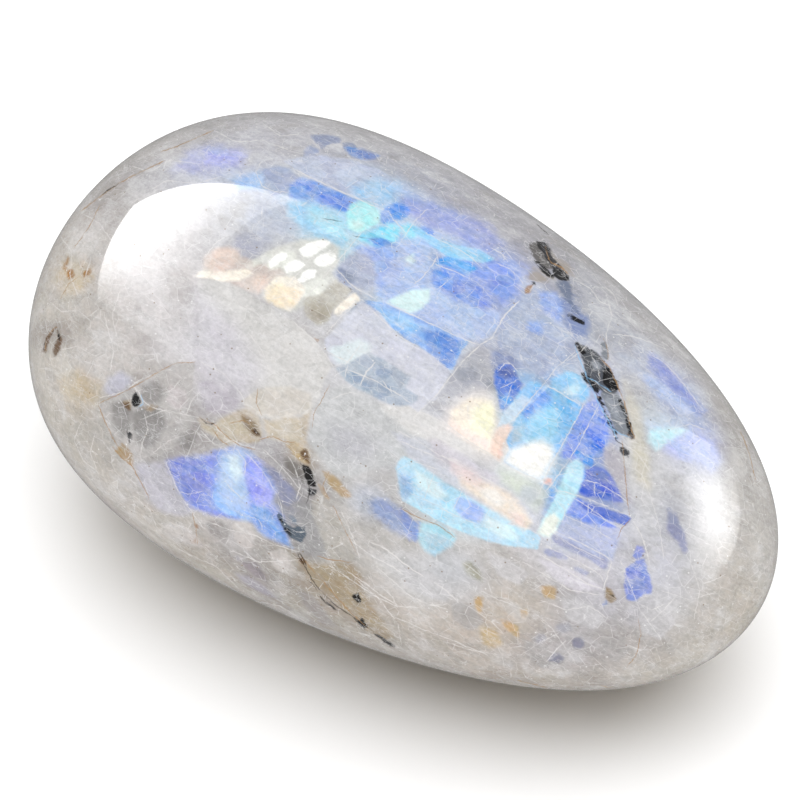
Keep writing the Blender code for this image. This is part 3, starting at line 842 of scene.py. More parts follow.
        (318, 316, 322, 313, 327, 316, 323, 320),
        (356, 292, 361, 291, 362, 295, 357, 296),
        (314, 338, 319, 339, 318, 343, 314, 341),
        (194, 523, 199, 525, 199, 529, 195, 528),
        (192, 539, 196, 538, 195, 544, 191, 543),
        (525, 286, 533, 284, 531, 293, 525, 294),
        (62, 268, 68, 255, 70, 258, 66, 272),
        (66, 270, 72, 268, 76, 277, 68, 280),
        (82, 272, 90, 268, 92, 273, 84, 278),
    )),
}

# Dark inclusions along the old fractures, which lie below the crackle and the cracks
FRONT_INCLUSIONS = {
    "smoke_trail": Paint((120, 142, 196), 5, 0.7, (
        (560, 296, 572, 298, 588, 320, 590, 334, 574, 338, 564, 318),
    )),
    "rust_halo": Paint((170, 160, 150), 3, 0.8, (
        (546, 246, 556, 258, 570, 266, 574, 276, 566, 272, 552, 262),
        (533, 267, 553, 278, 546, 284, 537, 283, 527, 279),
    )),
    "chain_smoke": Paint((98, 95, 92), 1.6, 0.9, (
        (529, 244, 538, 242, 551, 261, 554, 269, 547, 270, 536, 261, 531, 252),
    )),
    "chain_trail": Paint((112, 124, 150), 2, 0.85, (
        (556, 281, 569, 281, 572, 298, 580, 314, 574, 312, 564, 298),
    )),
    "slate_bits": Paint((86, 99, 113), 1.3, 0.93, (
        (277, 511, 285, 521, 291, 527, 297, 528, 304, 524, 307, 534, 301, 542, 292, 539, 284, 530,
         279, 520),
    )),
    "charcoal_chain": Paint((72, 76, 82), 1.2, 0.94, (
        (576, 343, 588, 346, 602, 359, 611, 369, 618, 382, 619, 392, 611, 394, 602, 392, 594, 384,
         586, 374, 582, 360),
    )),
    "vein_middle": Paint((130, 136, 144), 1.4, 0.93, (
        (600, 390, 618, 391, 624, 404, 630, 424, 635, 440, 628, 438, 618, 433, 610, 416, 603, 400),
        (600, 345, 604, 342, 608, 350, 608, 360, 601, 355),
    )),
    "chain_pale": Paint((160, 166, 176), 1.6, 0.85, (
        (604, 396, 612, 398, 618, 410, 622, 424, 616, 422, 609, 410),
        (590, 358, 600, 364, 602, 372, 592, 368),
    )),
    "slate_pale": Paint((126, 140, 156), 1.4, 0.85, ((287, 514, 296, 518, 298, 526, 290, 524),)),
    "chain_brown": Paint((104, 76, 50), 1.4, 0.9, (
        (250, 427, 258, 430, 261, 437, 254, 436),
        (626, 428, 633, 434, 634, 441, 628, 437),
        (43, 352, 46, 338, 54, 328, 58, 327, 50, 336, 46, 352),
        (56, 328, 60, 330, 61, 342, 58, 352, 54, 356, 54, 350, 58, 340),
        (120, 404, 129, 402, 130, 411, 126, 408),
        (298, 550, 306, 560, 304, 566, 298, 558),
        (298, 449, 306, 450, 313, 460, 309, 464, 301, 456),
    )),
    "coal": Paint((8, 8, 10), 0.9, 0.97, (
        (603, 368, 610, 368, 617, 380, 619, 391, 611, 391, 603, 383),
        (581, 371, 591, 378, 600, 388, 599, 394, 591, 387, 583, 378),
        (575, 341, 585, 349, 588, 355, 582, 356, 577, 350),
        (597, 392, 602, 398, 608, 413, 612, 426, 619, 434, 617, 439, 610, 429, 605, 417, 599, 402),
        (617, 392, 624, 404, 630, 420, 634, 438, 630, 434, 624, 416, 618, 402),
        (553, 267, 562, 269, 569, 276, 569, 281, 559, 280, 553, 275),
        (537, 241, 544, 242, 549, 251, 553, 263, 549, 264, 544, 253, 538, 248),
        (535, 260, 546, 266, 554, 276, 551, 279, 541, 270),
        (566, 311, 575, 316, 584, 320, 585, 325, 576, 322, 568, 317),
        (131, 396, 136, 391, 141, 398, 141, 405, 133, 409, 131, 402),
        (302, 465, 310, 467, 312, 476, 317, 488, 312, 487, 307, 481, 305, 473),
        (352, 596, 356, 589, 361, 598, 360, 606, 355, 602),
        (357, 620, 362, 616, 368, 626, 364, 629, 359, 623),
        (57, 334, 60, 334, 61, 341, 58, 341),
        (277, 511, 281, 516, 283, 524, 279, 521, 276, 515),
    )),
    "ink": Paint((40, 42, 48), 1.1, 0.92, (
        (541, 240, 547, 244, 554, 258, 562, 268, 556, 270, 548, 262, 542, 250),
        (307, 488, 317, 491, 313, 496, 308, 494),
        (282, 524, 289, 529, 291, 536, 285, 531),
        (620, 446, 630, 452, 627, 457, 621, 452),
        (574, 338, 581, 345, 578, 350, 574, 345),
        (129, 425, 132, 438, 130, 444, 127, 436),
        (201, 419, 214, 423, 207, 425),
        (252, 426, 260, 432, 260, 437, 254, 433),
        (532, 281, 537, 283, 536, 287, 531, 284),
        (319, 594, 327, 601, 336, 609, 326, 604),
        (374, 633, 385, 639, 395, 647, 384, 642),
        (610, 594, 614, 595, 613, 599, 609, 598),
    )),
}


class Crack(NamedTuple):
    """A narrow line. Its route lists x, y pairs in picture pixels."""

    width: float  # half its width, in pixels
    route: tuple


CRACK_TONES = {
    "pale": (238, 235, 233),
    "rusty": (176, 138, 92),
    "dark": (38, 32, 30),
    "lit": (150, 205, 248),
}
FRONT_CRACKS = {
    "pale": (
        Crack(1.0, (296, 170, 316, 180, 345, 193, 378, 208)),
        Crack(1.1, (384, 302, 412, 315, 440, 328, 470, 342, 480, 345)),
        Crack(0.9, (420, 348, 400, 337, 372, 310)),
        Crack(1.3, (520, 300, 505, 315, 497, 328, 492, 338, 480, 345)),
        Crack(1.2, (480, 345, 462, 362, 448, 380, 436, 396, 420, 411, 412, 420)),
        Crack(0.8, (420, 411, 446, 424, 470, 442, 500, 460, 520, 473, 542, 481)),
        Crack(0.8, (575, 352, 556, 368, 544, 384, 530, 400, 515, 418, 500, 430)),
        Crack(0.9, (545, 385, 556, 390, 582, 406)),
        Crack(0.9, (600, 403, 590, 422, 580, 442, 568, 462, 556, 478, 545, 492)),
        Crack(0.8, (586, 400, 576, 420, 564, 442, 548, 470, 538, 496)),
        Crack(0.8, (556, 490, 580, 496, 606, 506, 632, 517)),
        Crack(0.8, (572, 497, 590, 508, 612, 524, 622, 528)),
        Crack(0.8, (594, 482, 595, 496)),
        Crack(0.8, (606, 488, 602, 498)),
        Crack(0.8, (578, 478, 600, 484, 622, 497, 630, 505)),
        Crack(0.9, (552, 530, 575, 540, 606, 556, 612, 562)),
        Crack(0.8, (545, 545, 575, 560, 600, 574, 604, 582)),
        Crack(0.9, (540, 555, 560, 566, 590, 585, 606, 590)),
        Crack(1.0, (612, 562, 606, 580, 603, 592)),
        Crack(1.0, (350, 363, 334, 355, 326, 352)),
        Crack(1.1, (345, 365, 352, 357, 360, 345)),
        Crack(1.0, (348, 364, 345, 378)),
        Crack(1.2, (376, 362, 366, 372, 360, 386)),
        Crack(0.8, (346, 369, 372, 379, 398, 394, 412, 404)),
        Crack(0.8, (382, 380, 392, 393)),
        Crack(0.9, (292, 320, 305, 332, 318, 344, 328, 358, 334, 368)),
        Crack(0.8, (326, 334, 340, 318, 360, 300)),
        Crack(0.8, (336, 268, 348, 282, 362, 292, 378, 300)),
        Crack(0.7, (318, 258, 336, 268)),
        Crack(0.7, (304, 262, 322, 254, 332, 250)),
        Crack(0.7, (280, 272, 296, 280, 306, 284)),
        Crack(0.8, (306, 264, 296, 276, 288, 286)),
        Crack(0.8, (332, 268, 318, 284, 304, 300)),
        Crack(0.8, (362, 232, 352, 244, 342, 256, 334, 266)),
        Crack(0.8, (408, 236, 400, 226, 392, 218, 388, 210)),
        Crack(0.8, (428, 208, 414, 222, 402, 240)),
        Crack(0.9, (438, 256, 430, 268, 422, 278, 414, 284)),
        Crack(0.7, (424, 232, 448, 244, 470, 256, 484, 270)),
        Crack(0.8, (434, 264, 456, 272, 480, 284, 492, 300)),
        Crack(0.8, (436, 290, 444, 284, 454, 276)),
        Crack(0.7, (466, 298, 476, 288)),
        Crack(0.8, (495, 262, 512, 270, 524, 284)),
        Crack(0.7, (508, 262, 500, 252, 490, 248)),
        Crack(0.8, (497, 372, 508, 360, 518, 372)),
        Crack(0.7, (512, 384, 508, 398, 504, 408)),
        Crack(0.7, (500, 388, 510, 384, 520, 378)),
        Crack(0.9, (400, 441, 420, 450, 446, 462)),
        Crack(0.7, (404, 420, 430, 432, 452, 446, 480, 462)),
        Crack(0.7, (330, 566, 352, 580, 374, 596, 396, 606, 420, 608)),
        Crack(0.9, (350, 540, 372, 556, 392, 566, 404, 575)),
        Crack(0.8, (366, 540, 384, 548, 402, 562, 424, 577)),
        Crack(0.7, (430, 580, 446, 590, 460, 604)),
        Crack(0.7, (378, 584, 392, 596, 398, 608)),
        Crack(0.8, (340, 508, 348, 526, 356, 546, 360, 560)),
        Crack(0.8, (288, 455, 296, 470, 300, 486, 296, 500)),
        Crack(0.8, (222, 424, 232, 432, 238, 442)),
        Crack(0.8, (212, 420, 218, 430, 226, 436)),
        Crack(0.8, (132, 385, 140, 394, 143, 402, 154, 408, 172, 413)),
        Crack(0.7, (160, 395, 172, 390, 180, 380)),
        Crack(0.7, (166, 388, 174, 398, 186, 394, 194, 388)),
        Crack(0.7, (144, 412, 148, 430, 142, 444, 140, 458)),
        Crack(0.7, (186, 415, 192, 400, 200, 392)),
        Crack(0.8, (262, 160, 256, 172, 262, 186, 274, 192, 290, 192)),
        Crack(0.6, (262, 220, 262, 206)),
        Crack(0.8, (104, 312, 108, 330, 114, 350, 110, 372)),
        Crack(0.8, (92, 256, 88, 268, 84, 282)),
        Crack(0.8, (128, 206, 134, 202, 138, 198)),
        Crack(0.8, (608, 300, 612, 316, 606, 334, 608, 350)),
        Crack(0.7, (580, 282, 592, 290, 600, 302, 612, 306)),
        Crack(0.7, (604, 286, 614, 294, 618, 306)),
        Crack(0.7, (612, 334, 632, 336, 650, 342, 668, 350)),
        Crack(0.7, (566, 362, 580, 352, 588, 344)),
        Crack(0.9, (632, 520, 640, 532, 646, 548, 650, 566)),
        Crack(0.8, (640, 604, 652, 610, 664, 604)),
        Crack(0.8, (650, 622, 664, 610, 676, 596)),
        Crack(0.7, (702, 584, 714, 580, 726, 574)),
        Crack(0.7, (646, 352, 664, 362, 684, 384, 704, 412)),
        Crack(0.8, (566, 640, 556, 650, 546, 662)),
        Crack(0.7, (560, 640, 568, 652, 576, 664)),
        Crack(0.7, (540, 620, 552, 628, 560, 640)),
        Crack(0.6, (236, 448, 246, 462, 244, 476)),
        Crack(0.6, (224, 480, 234, 492, 244, 500)),
        Crack(0.6, (178, 492, 190, 494, 204, 491)),
        Crack(0.7, (99, 398, 122, 392, 140, 380, 165, 370)),
        Crack(0.6, (140, 420, 165, 410, 200, 418)),
        Crack(0.5, (150, 455, 170, 440, 195, 432)),
        Crack(0.6, (165, 460, 180, 495, 196, 518, 205, 530)),
        Crack(0.6, (262, 448, 285, 470, 300, 490)),
        Crack(0.6, (243, 450, 262, 470, 280, 500, 284, 520)),
        Crack(0.5, (240, 515, 262, 520, 262, 530)),
        Crack(0.7, (205, 520, 230, 530, 255, 535, 275, 545, 300, 552)),
        Crack(0.6, (230, 550, 260, 562, 300, 560)),
        Crack(0.7, (345, 570, 360, 580, 385, 598, 400, 606)),
        Crack(0.6, (400, 590, 425, 603, 450, 610)),
        Crack(0.6, (480, 590, 500, 600, 530, 612)),
        Crack(0.5, (460, 560, 480, 575, 490, 582)),
        Crack(0.8, (520, 560, 545, 575, 570, 590, 600, 595)),
        Crack(0.6, (520, 655, 545, 640, 560, 632)),
        Crack(0.5, (440, 640, 470, 650, 500, 655)),
        Crack(0.9, (440, 455, 470, 470, 500, 487)),
        Crack(0.8, (396, 430, 420, 442, 440, 456, 462, 462)),
        Crack(0.6, (563, 515, 580, 522, 600, 532, 612, 540)),
        Crack(0.6, (549, 531, 570, 544, 590, 554, 605, 560)),
        Crack(0.5, (556, 500, 566, 510, 562, 522)),
        Crack(0.6, (586, 455, 596, 460, 604, 456)),
        Crack(0.5, (448, 412, 460, 400, 478, 392, 494, 398)),
        Crack(0.5, (240, 284, 252, 272, 268, 262, 280, 250)),
        Crack(0.6, (205, 258, 214, 244, 226, 236)),
        Crack(0.5, (268, 300, 284, 296, 300, 300)),
        Crack(0.6, (330, 400, 348, 392, 366, 396)),
        Crack(0.5, (200, 362, 222, 372, 240, 392, 250, 410)),
        Crack(0.6, (246, 330, 262, 350, 270, 372)),
        Crack(0.5, (640, 470, 652, 500, 660, 530, 664, 560)),
        Crack(0.5, (618, 440, 636, 452, 652, 474)),
        Crack(0.6, (668, 430, 690, 424, 706, 430)),
        Crack(0.5, (690, 560, 700, 590, 694, 620)),
        Crack(0.5, (96, 430, 90, 452, 98, 474)),
        Crack(0.5, (120, 290, 112, 316, 118, 340)),
        Crack(0.6, (381, 545, 400, 560, 424, 577)),
        Crack(0.6, (60, 236, 72, 252, 70, 276, 80, 300)),
        Crack(0.6, (84, 214, 100, 224, 112, 242)),
        Crack(0.6, (132, 166, 150, 172, 170, 160, 196, 164)),
        Crack(0.6, (150, 190, 168, 180, 196, 184, 222, 176)),
        Crack(0.6, (214, 130, 236, 142, 262, 140, 290, 150)),
        Crack(0.6, (262, 122, 280, 136, 300, 134)),
        Crack(0.5, (48, 300, 62, 312, 78, 310, 92, 322)),
        Crack(0.5, (60, 350, 78, 346, 94, 356, 104, 352)),
        Crack(0.5, (82, 420, 74, 440, 84, 462, 96, 470)),
        Crack(0.5, (120, 500, 134, 496, 150, 510, 158, 530)),
        Crack(0.6, (170, 544, 192, 556, 216, 566, 240, 590)),
        Crack(0.6, (250, 600, 280, 606, 306, 622, 330, 634)),
        Crack(0.6, (392, 616, 420, 628, 452, 640, 490, 656)),
        Crack(0.6, (540, 600, 566, 610, 590, 606, 610, 620)),
        Crack(0.5, (620, 560, 640, 610, 662, 640)),
        Crack(0.5, (660, 590, 690, 600, 716, 592)),
        Crack(0.7, (376, 566, 410, 596, 430, 606, 448, 604)),
        Crack(0.6, (355, 578, 380, 600, 398, 624, 402, 646)),
        Crack(0.6, (396, 470, 416, 462, 440, 470)),
        Crack(0.5, (410, 492, 430, 502, 452, 514, 476, 524)),
        Crack(0.5, (464, 486, 458, 500, 452, 512)),
        Crack(0.5, (436, 470, 430, 484, 424, 500)),
        Crack(0.5, (492, 504, 486, 516, 482, 528)),
        Crack(0.5, (604, 400, 612, 406, 622, 404)),
        Crack(0.5, (594, 380, 606, 392, 616, 396)),
        Crack(0.5, (600, 410, 612, 420, 626, 424)),
        Crack(0.6, (590, 352, 598, 368, 600, 380)),
        Crack(0.5, (280, 516, 290, 522, 304, 524)),
        Crack(0.5, (290, 528, 300, 534, 306, 530)),
        Crack(0.6, (200, 430, 216, 446, 232, 440, 250, 448)),
        Crack(0.5, (262, 420, 276, 430, 296, 432, 308, 424)),
    ),
    "rusty": (
        Crack(0.7, (201, 419, 214, 424, 226, 436, 240, 446, 256, 450)),
        Crack(0.6, (330, 384, 322, 400, 314, 412, 312, 428)),
        Crack(0.6, (333, 505, 345, 530, 358, 556)),
        Crack(0.6, (192, 512, 196, 530, 198, 545)),
        Crack(0.6, (258, 388, 256, 402, 262, 416)),
        Crack(0.8, (196, 362, 176, 363, 160, 371, 140, 383, 124, 392, 98, 404)),
        Crack(0.8, (98, 404, 106, 424, 116, 444, 128, 460, 140, 480, 150, 500)),
        Crack(1.0, (112, 446, 122, 458, 134, 468)),
        Crack(0.9, (80, 212, 98, 198, 118, 184, 140, 172, 166, 160)),
        Crack(0.8, (160, 152, 178, 146, 196, 138, 214, 130)),
        Crack(0.9, (212, 428, 220, 440, 230, 446)),
        Crack(0.8, (228, 424, 244, 420, 252, 426)),
        Crack(1.0, (300, 556, 316, 574, 334, 594, 350, 612, 370, 630)),
        Crack(0.8, (316, 556, 330, 560, 350, 562)),
        Crack(1.1, (545, 246, 550, 262, 562, 268, 570, 276)),
        Crack(1.0, (600, 358, 610, 368, 617, 384, 624, 402, 630, 424, 635, 440)),
        Crack(0.8, (603, 338, 608, 350, 608, 362)),
        Crack(0.8, (622, 440, 625, 470, 627, 500, 630, 516)),
        Crack(0.8, (617, 540, 622, 528, 632, 518)),
        Crack(0.7, (638, 618, 641, 636, 636, 656, 626, 668)),
        Crack(0.8, (400, 508, 420, 518, 440, 526, 456, 538)),
        Crack(0.8, (258, 440, 272, 436, 284, 442, 296, 442)),
        Crack(0.7, (516, 680, 532, 684, 548, 688)),
        Crack(0.7, (600, 686, 612, 688)),
        Crack(0.7, (330, 470, 322, 486, 330, 500)),
        Crack(0.8, (46, 352, 45, 340, 52, 330, 58, 326)),
        Crack(0.7, (740, 430, 748, 450, 756, 480)),
        Crack(0.6, (72, 250, 80, 240, 92, 222, 100, 204)),
        Crack(0.6, (60, 300, 68, 284, 80, 276)),
    ),
    "dark": (
        Crack(1.1, (101, 196, 108, 190, 120, 183)),
        Crack(0.8, (297, 553, 306, 569, 316, 586, 336, 606, 358, 620, 376, 634)),
        Crack(0.7, (300, 462, 306, 476, 310, 490, 306, 504)),
        Crack(1.2, (199, 417, 206, 423, 212, 424, 217, 423)),
        Crack(1.3, (318, 594, 325, 602, 332, 607, 340, 612)),
        Crack(0.9, (307, 580, 313, 584, 318, 592)),
        Crack(1.0, (299, 552, 305, 562, 307, 570)),
        Crack(1.5, (373, 633, 383, 640, 394, 647)),
        Crack(0.9, (352, 616, 358, 622, 366, 630)),
        Crack(0.8, (128, 424, 127, 432, 130, 444)),
        Crack(0.9, (57, 327, 60, 336, 59, 344)),
        Crack(0.8, (43, 351, 45, 340, 50, 333)),
        Crack(0.8, (586, 376, 596, 394, 600, 402)),
        Crack(0.9, (536, 243, 546, 248, 551, 262)),
        Crack(0.9, (535, 223, 542, 229, 549, 235)),
        Crack(0.6, (176, 147, 184, 143)),
        Crack(0.9, (347, 286, 353, 290)),
        Crack(0.6, (352, 236, 364, 238, 376, 240)),
        Crack(0.6, (322, 218, 344, 222)),
        Crack(0.8, (612, 430, 616, 440, 624, 446)),
    ),
    "lit": (
        Crack(0.9, (574, 344, 580, 360, 588, 380, 598, 402, 608, 420, 618, 440)),
        Crack(0.8, (587, 377, 600, 384, 612, 392)),
        Crack(0.8, (606, 424, 620, 434, 632, 438)),
        Crack(0.8, (141, 394, 143, 404, 136, 409)),
    ),
}

# Markings on the side that the picture doesn't show, as seen from behind at the same height
BACK_GRAINS = {
    "back_milk": Paint((214, 212, 211), 3, 0.85, (
        (150, 250, 230, 230, 300, 262, 330, 320, 280, 372, 200, 360, 140, 318),
        (470, 470, 560, 500, 610, 560, 560, 600, 480, 570, 440, 510),
    )),
    "back_blue": Paint((140, 168, 238), 3, 0.85, (
        (330, 230, 400, 250, 470, 290, 440, 330, 370, 300, 322, 262),
        (210, 430, 270, 440, 300, 480, 250, 500, 205, 470),
    )),
    "back_cyan": Paint((170, 222, 248), 5, 0.85, (
        (350, 262, 400, 276, 420, 304, 378, 296),
        (228, 446, 262, 456, 270, 482, 240, 478),
    )),
    "back_glass": Paint((168, 170, 180), 2, 0.85, (
        (520, 330, 580, 360, 610, 400, 560, 410, 520, 380),
        (120, 420, 160, 410, 180, 440, 150, 460),
    )),
    "back_tan": Paint((190, 168, 132), 4, 0.8, (
        (330, 470, 380, 480, 420, 530, 400, 570, 350, 540, 320, 500),
        (600, 430, 640, 450, 650, 490, 620, 480),
    )),
    "back_royal": Paint((112, 142, 222), 2, 0.9, (
        (400, 262, 430, 268, 446, 288, 424, 296, 404, 284),
        (236, 452, 250, 456, 252, 472, 240, 470),
    )),
    "back_pane": Paint((178, 182, 194), 2.5, 0.85, (
        (350, 330, 392, 318, 420, 340, 408, 372, 366, 368),
        (230, 300, 262, 296, 276, 324, 252, 340, 228, 324),
    )),
    "back_stain": Paint((198, 180, 150), 4, 0.8, (
        (478, 420, 508, 424, 530, 452, 512, 470, 486, 452),
        (240, 556, 280, 566, 300, 590, 270, 592, 246, 576),
    )),
}
BACK_INCLUSIONS = {
    "back_coal": Paint((14, 13, 14), 1.2, 0.95, (
        (430, 402, 440, 398, 452, 410, 446, 420, 434, 414),
        (462, 424, 470, 428, 476, 442, 468, 440),
        (300, 392, 308, 396, 306, 406, 299, 402),
        (352, 560, 362, 566, 372, 580, 360, 576),
        (486, 462, 495, 469, 505, 486, 497, 483),
        (512, 494, 522, 500, 528, 512, 518, 508),
        (404, 372, 414, 378, 420, 388, 410, 386),
    )),
    "back_smoke": Paint((110, 110, 114), 3, 0.7, ((420, 392, 450, 396, 484, 440, 470, 452, 440, 426),)),
}
BACK_CRACKS = {
    "pale": (
        Crack(0.9, (150, 250, 230, 280, 320, 330, 420, 380)),
        Crack(0.8, (320, 330, 290, 370, 262, 420)),
        Crack(0.9, (470, 290, 440, 340, 400, 390, 372, 440)),
        Crack(0.8, (330, 262, 400, 292, 470, 330, 560, 372)),
        Crack(0.8, (440, 510, 500, 530, 560, 560, 620, 600)),
        Crack(0.8, (210, 500, 280, 540, 360, 590, 430, 620)),
        Crack(0.8, (600, 400, 570, 440, 540, 480)),
    ),
    "rusty": (
        Crack(1.0, (400, 380, 440, 400, 480, 440, 500, 480)),
        Crack(0.9, (330, 540, 372, 584, 420, 610)),
        Crack(0.8, (120, 330, 130, 380, 150, 430)),
    ),
    "dark": (
        Crack(1.0, (412, 384, 424, 394, 436, 404)),
        Crack(1.0, (468, 436, 482, 446, 492, 462)),
    ),
    "lit": (),
}


# Where the markings lie on the mesh


def light_of(tone):
    """The linear colour of a tone given as in the picture, 0 to 255."""
    share = np.asarray(tone, float) / 255
    return np.where(share <= 0.04045, share / 12.92, ((share + 0.055) / 1.055) ** 2.4)


def seen_places(points, normals, turned=False):
    """Where points lie in the picture, and how far their skin faces the eye.

    Turned sees the stone from behind.
    """
    if turned:
        points = points * (-1, -1, 1)
        normals = normals * (-1, -1, 1)
    offset = points - np.array(LOOK_AT)
    depth = VIEW_DISTANCE + offset @ np.array(AHEAD)
    across = FOCAL_PIXELS * (offset @ np.array(RIGHT)) / depth
    upwards = FOCAL_PIXELS * (offset @ np.array(UP)) / depth
    places = PICTURE / 2 + np.stack((across, -upwards), axis=1)
    to_eye = np.array(EYE) - points
    to_eye /= np.linalg.norm(to_eye, axis=1, keepdims=True)
    return places, (normals * to_eye).sum(axis=1)


def inside_depth(places, outline):
    """How deep each place lies inside an outline, in pixels, and below zero outside it."""
    corners = np.reshape(outline, (-1, 2)).astype(float)
    sides = np.roll(corners, -1, axis=0) - corners
    depth = np.full(len(places), -REACH)
    close = ((places > corners.min(axis=0) - REACH) & (places < corners.max(axis=0) + REACH)).all(axis=1)
    spots = places[close][:, None]
    share = ((spots - corners) * sides).sum(axis=2) / (sides * sides).sum(axis=1)
    feet = corners + np.clip(share, 0, 1)[..., None] * sides
    gap = np.linalg.norm(spots - feet, axis=2).min(axis=1)
    starts_below = corners[:, 1] > spots[..., 1]
    ends_below = np.roll(corners[:, 1], -1) > spots[..., 1]
    fall = np.where(sides[:, 1] == 0, 1, sides[:, 1])
    meets = corners[:, 0] + (spots[..., 1] - corners[:, 1]) / fall * sides[:, 0]
    crossings = ((starts_below != ends_below) & (spots[..., 0] < meets)).sum(axis=1)
    depth[close] = np.clip(np.where(crossings % 2 == 1, gap, -gap), -REACH, REACH)
    return depth


def crack_course(places, crack):
    """For each place, pixels off a crack's line, negative on one side of it, and pixels to its nearer end."""
    corners = np.reshape(crack.route, (-1, 2)).astype(float)
    sides = np.diff(corners, axis=0)
    lengths = np.linalg.norm(sides, axis=1)
    before = np.cumsum(lengths) - lengths
    off = np.full(len(places), CRACK_REACH)
    left = np.full(len(places), -CRACK_REACH)
    margin = 2 * CRACK_REACH
    close = ((places > corners.min(axis=0) - margin) & (places < corners.max(axis=0) + margin)).all(axis=1)
    spots = places[close][:, None] - corners[:-1]
    share = (spots * sides).sum(axis=2) / lengths**2
    gap = np.linalg.norm(spots - np.clip(share, 0, 1)[..., None] * sides, axis=2)
    side = np.sign(sides[:, 0] * spots[..., 1] - sides[:, 1] * spots[..., 0])
    nearest = gap.argmin(axis=1)
    row = np.arange(len(nearest))
    along = before[nearest] + share[row, nearest] * lengths[nearest]
    gap = np.minimum(gap[row, nearest], CRACK_REACH)
    off[close] = gap * side[row, nearest]
    left[close] = np.clip(np.minimum(along, lengths.sum() - along), -CRACK_REACH, CRACK_REACH)
    left[close] = np.minimum(left[close], CRACK_REACH - gap)
    return off, left


class Mark(NamedTuple):
    """One outline's or crack's marking on the mesh."""

    near: np.ndarray  # the points that its edge or line can reach
    hidden: np.ndarray  # the points whose lower marks it hides
    shape: np.ndarray  # three numbers for each point that place its edge or line
    tone: np.ndarray  # its linear colour


def paint_marks(paints, raggedness, places, shown):
    """A mark for each outline, in the paints' order."""
    for paint in paints.values():
        tone = light_of(paint.tone)
        ragged = (RAGGED_LEAST + RAGGED_SHARE * min(paint.blur, RAGGED_BLUR)) * raggedness
        for outline in paint.outlines:
            depth = np.minimum(inside_depth(places, outline), shown)
            near = depth > -(paint.blur + ragged * RAGGED_MOST + MESH_STEP)
            shape = np.empty((len(places), 3))
            shape[:] = (0, ragged / paint.blur, paint.cover)
            shape[:, 0] = depth / paint.blur
            yield Mark(near, depth > HIDING_DEPTH, shape, tone)


def crack_marks(kinds, sides):
    """A mark for each crack of some kinds. A side holds its cracks by kind, its places and what it shows."""
    for kind in kinds:
        tone = light_of(CRACK_TONES[kind])
        for cracks, places, shown in sides:
            for crack in cracks[kind]:
                off, left = crack_course(places, crack)
                near = (np.abs(off) < CRACK_REACH) & (shown > -CRACK_REACH)
                width = np.full(len(places), crack.width * CRACK_THINNESS)
                shape = np.stack((off, np.minimum(left, shown), width), axis=1)
                yield Mark(near, np.zeros(len(places), bool), shape, tone)


def share_sheets(marks, nothing):
    """Shares marks out over sheets on which none come close, each above those that it hides."""
    sheets = []
    for mark in marks:
        level = 0
        for number, sheet in enumerate(sheets):
            if (sheet.hidden & mark.hidden).any():
                level = number + 1
        while level < len(sheets) and (sheets[level].near & mark.near).any():
            level += 1
        if level == len(sheets):
            count = len(mark.near)
            blank = np.zeros(count, bool)
            sheets.append(Mark(blank, blank.copy(), np.tile(nothing, (count, 1)), np.zeros((count, 3))))
        sheet = sheets[level]
        sheet.near[mark.near] = True
        sheet.hidden[mark.hidden] = True
        sheet.shape[mark.near] = mark.shape[mark.near]
        sheet.tone[mark.near] = mark.tone
    return sheets


def body_and_painted_light_tones(sides):
    """The smooth colour at each point, from the hazes of each side that shows it: the body's own colour, with
    the painted shade and painted reflection that some hazes hold.
    """
    count = len(sides[0][2])
    weight = np.full(count, BODY_WEIGHT)
    light = weight[:, None] * light_of(BODY_TONE)
    for hazes, places, shown in sides:
        visible = np.clip(RIM_HAZE + shown / RIM_PIXELS * RIM_HAZE_RISE, 0, 1)
        for haze in hazes:
            turn = math.radians(haze.turn)
            offset = places - (haze.x, haze.y)
            along = offset @ (math.cos(turn), math.sin(turn)) / haze.long
            aside = offset @ (-math.sin(turn), math.cos(turn)) / haze.wide
            share = haze.strength * np.exp(-0.5 * (along**2 + aside**2)) * visible
            weight += share
            light += share[:, None] * light_of(haze.tone)
    return light / weight[:, None]


def keep(mesh, name, values):
    """Keeps three numbers for each point of a mesh as an attribute."""
    attribute = mesh.attributes.new(name, "FLOAT_VECTOR", "POINT")
    attribute.data.foreach_set("vector", values.astype(np.float32).ravel())


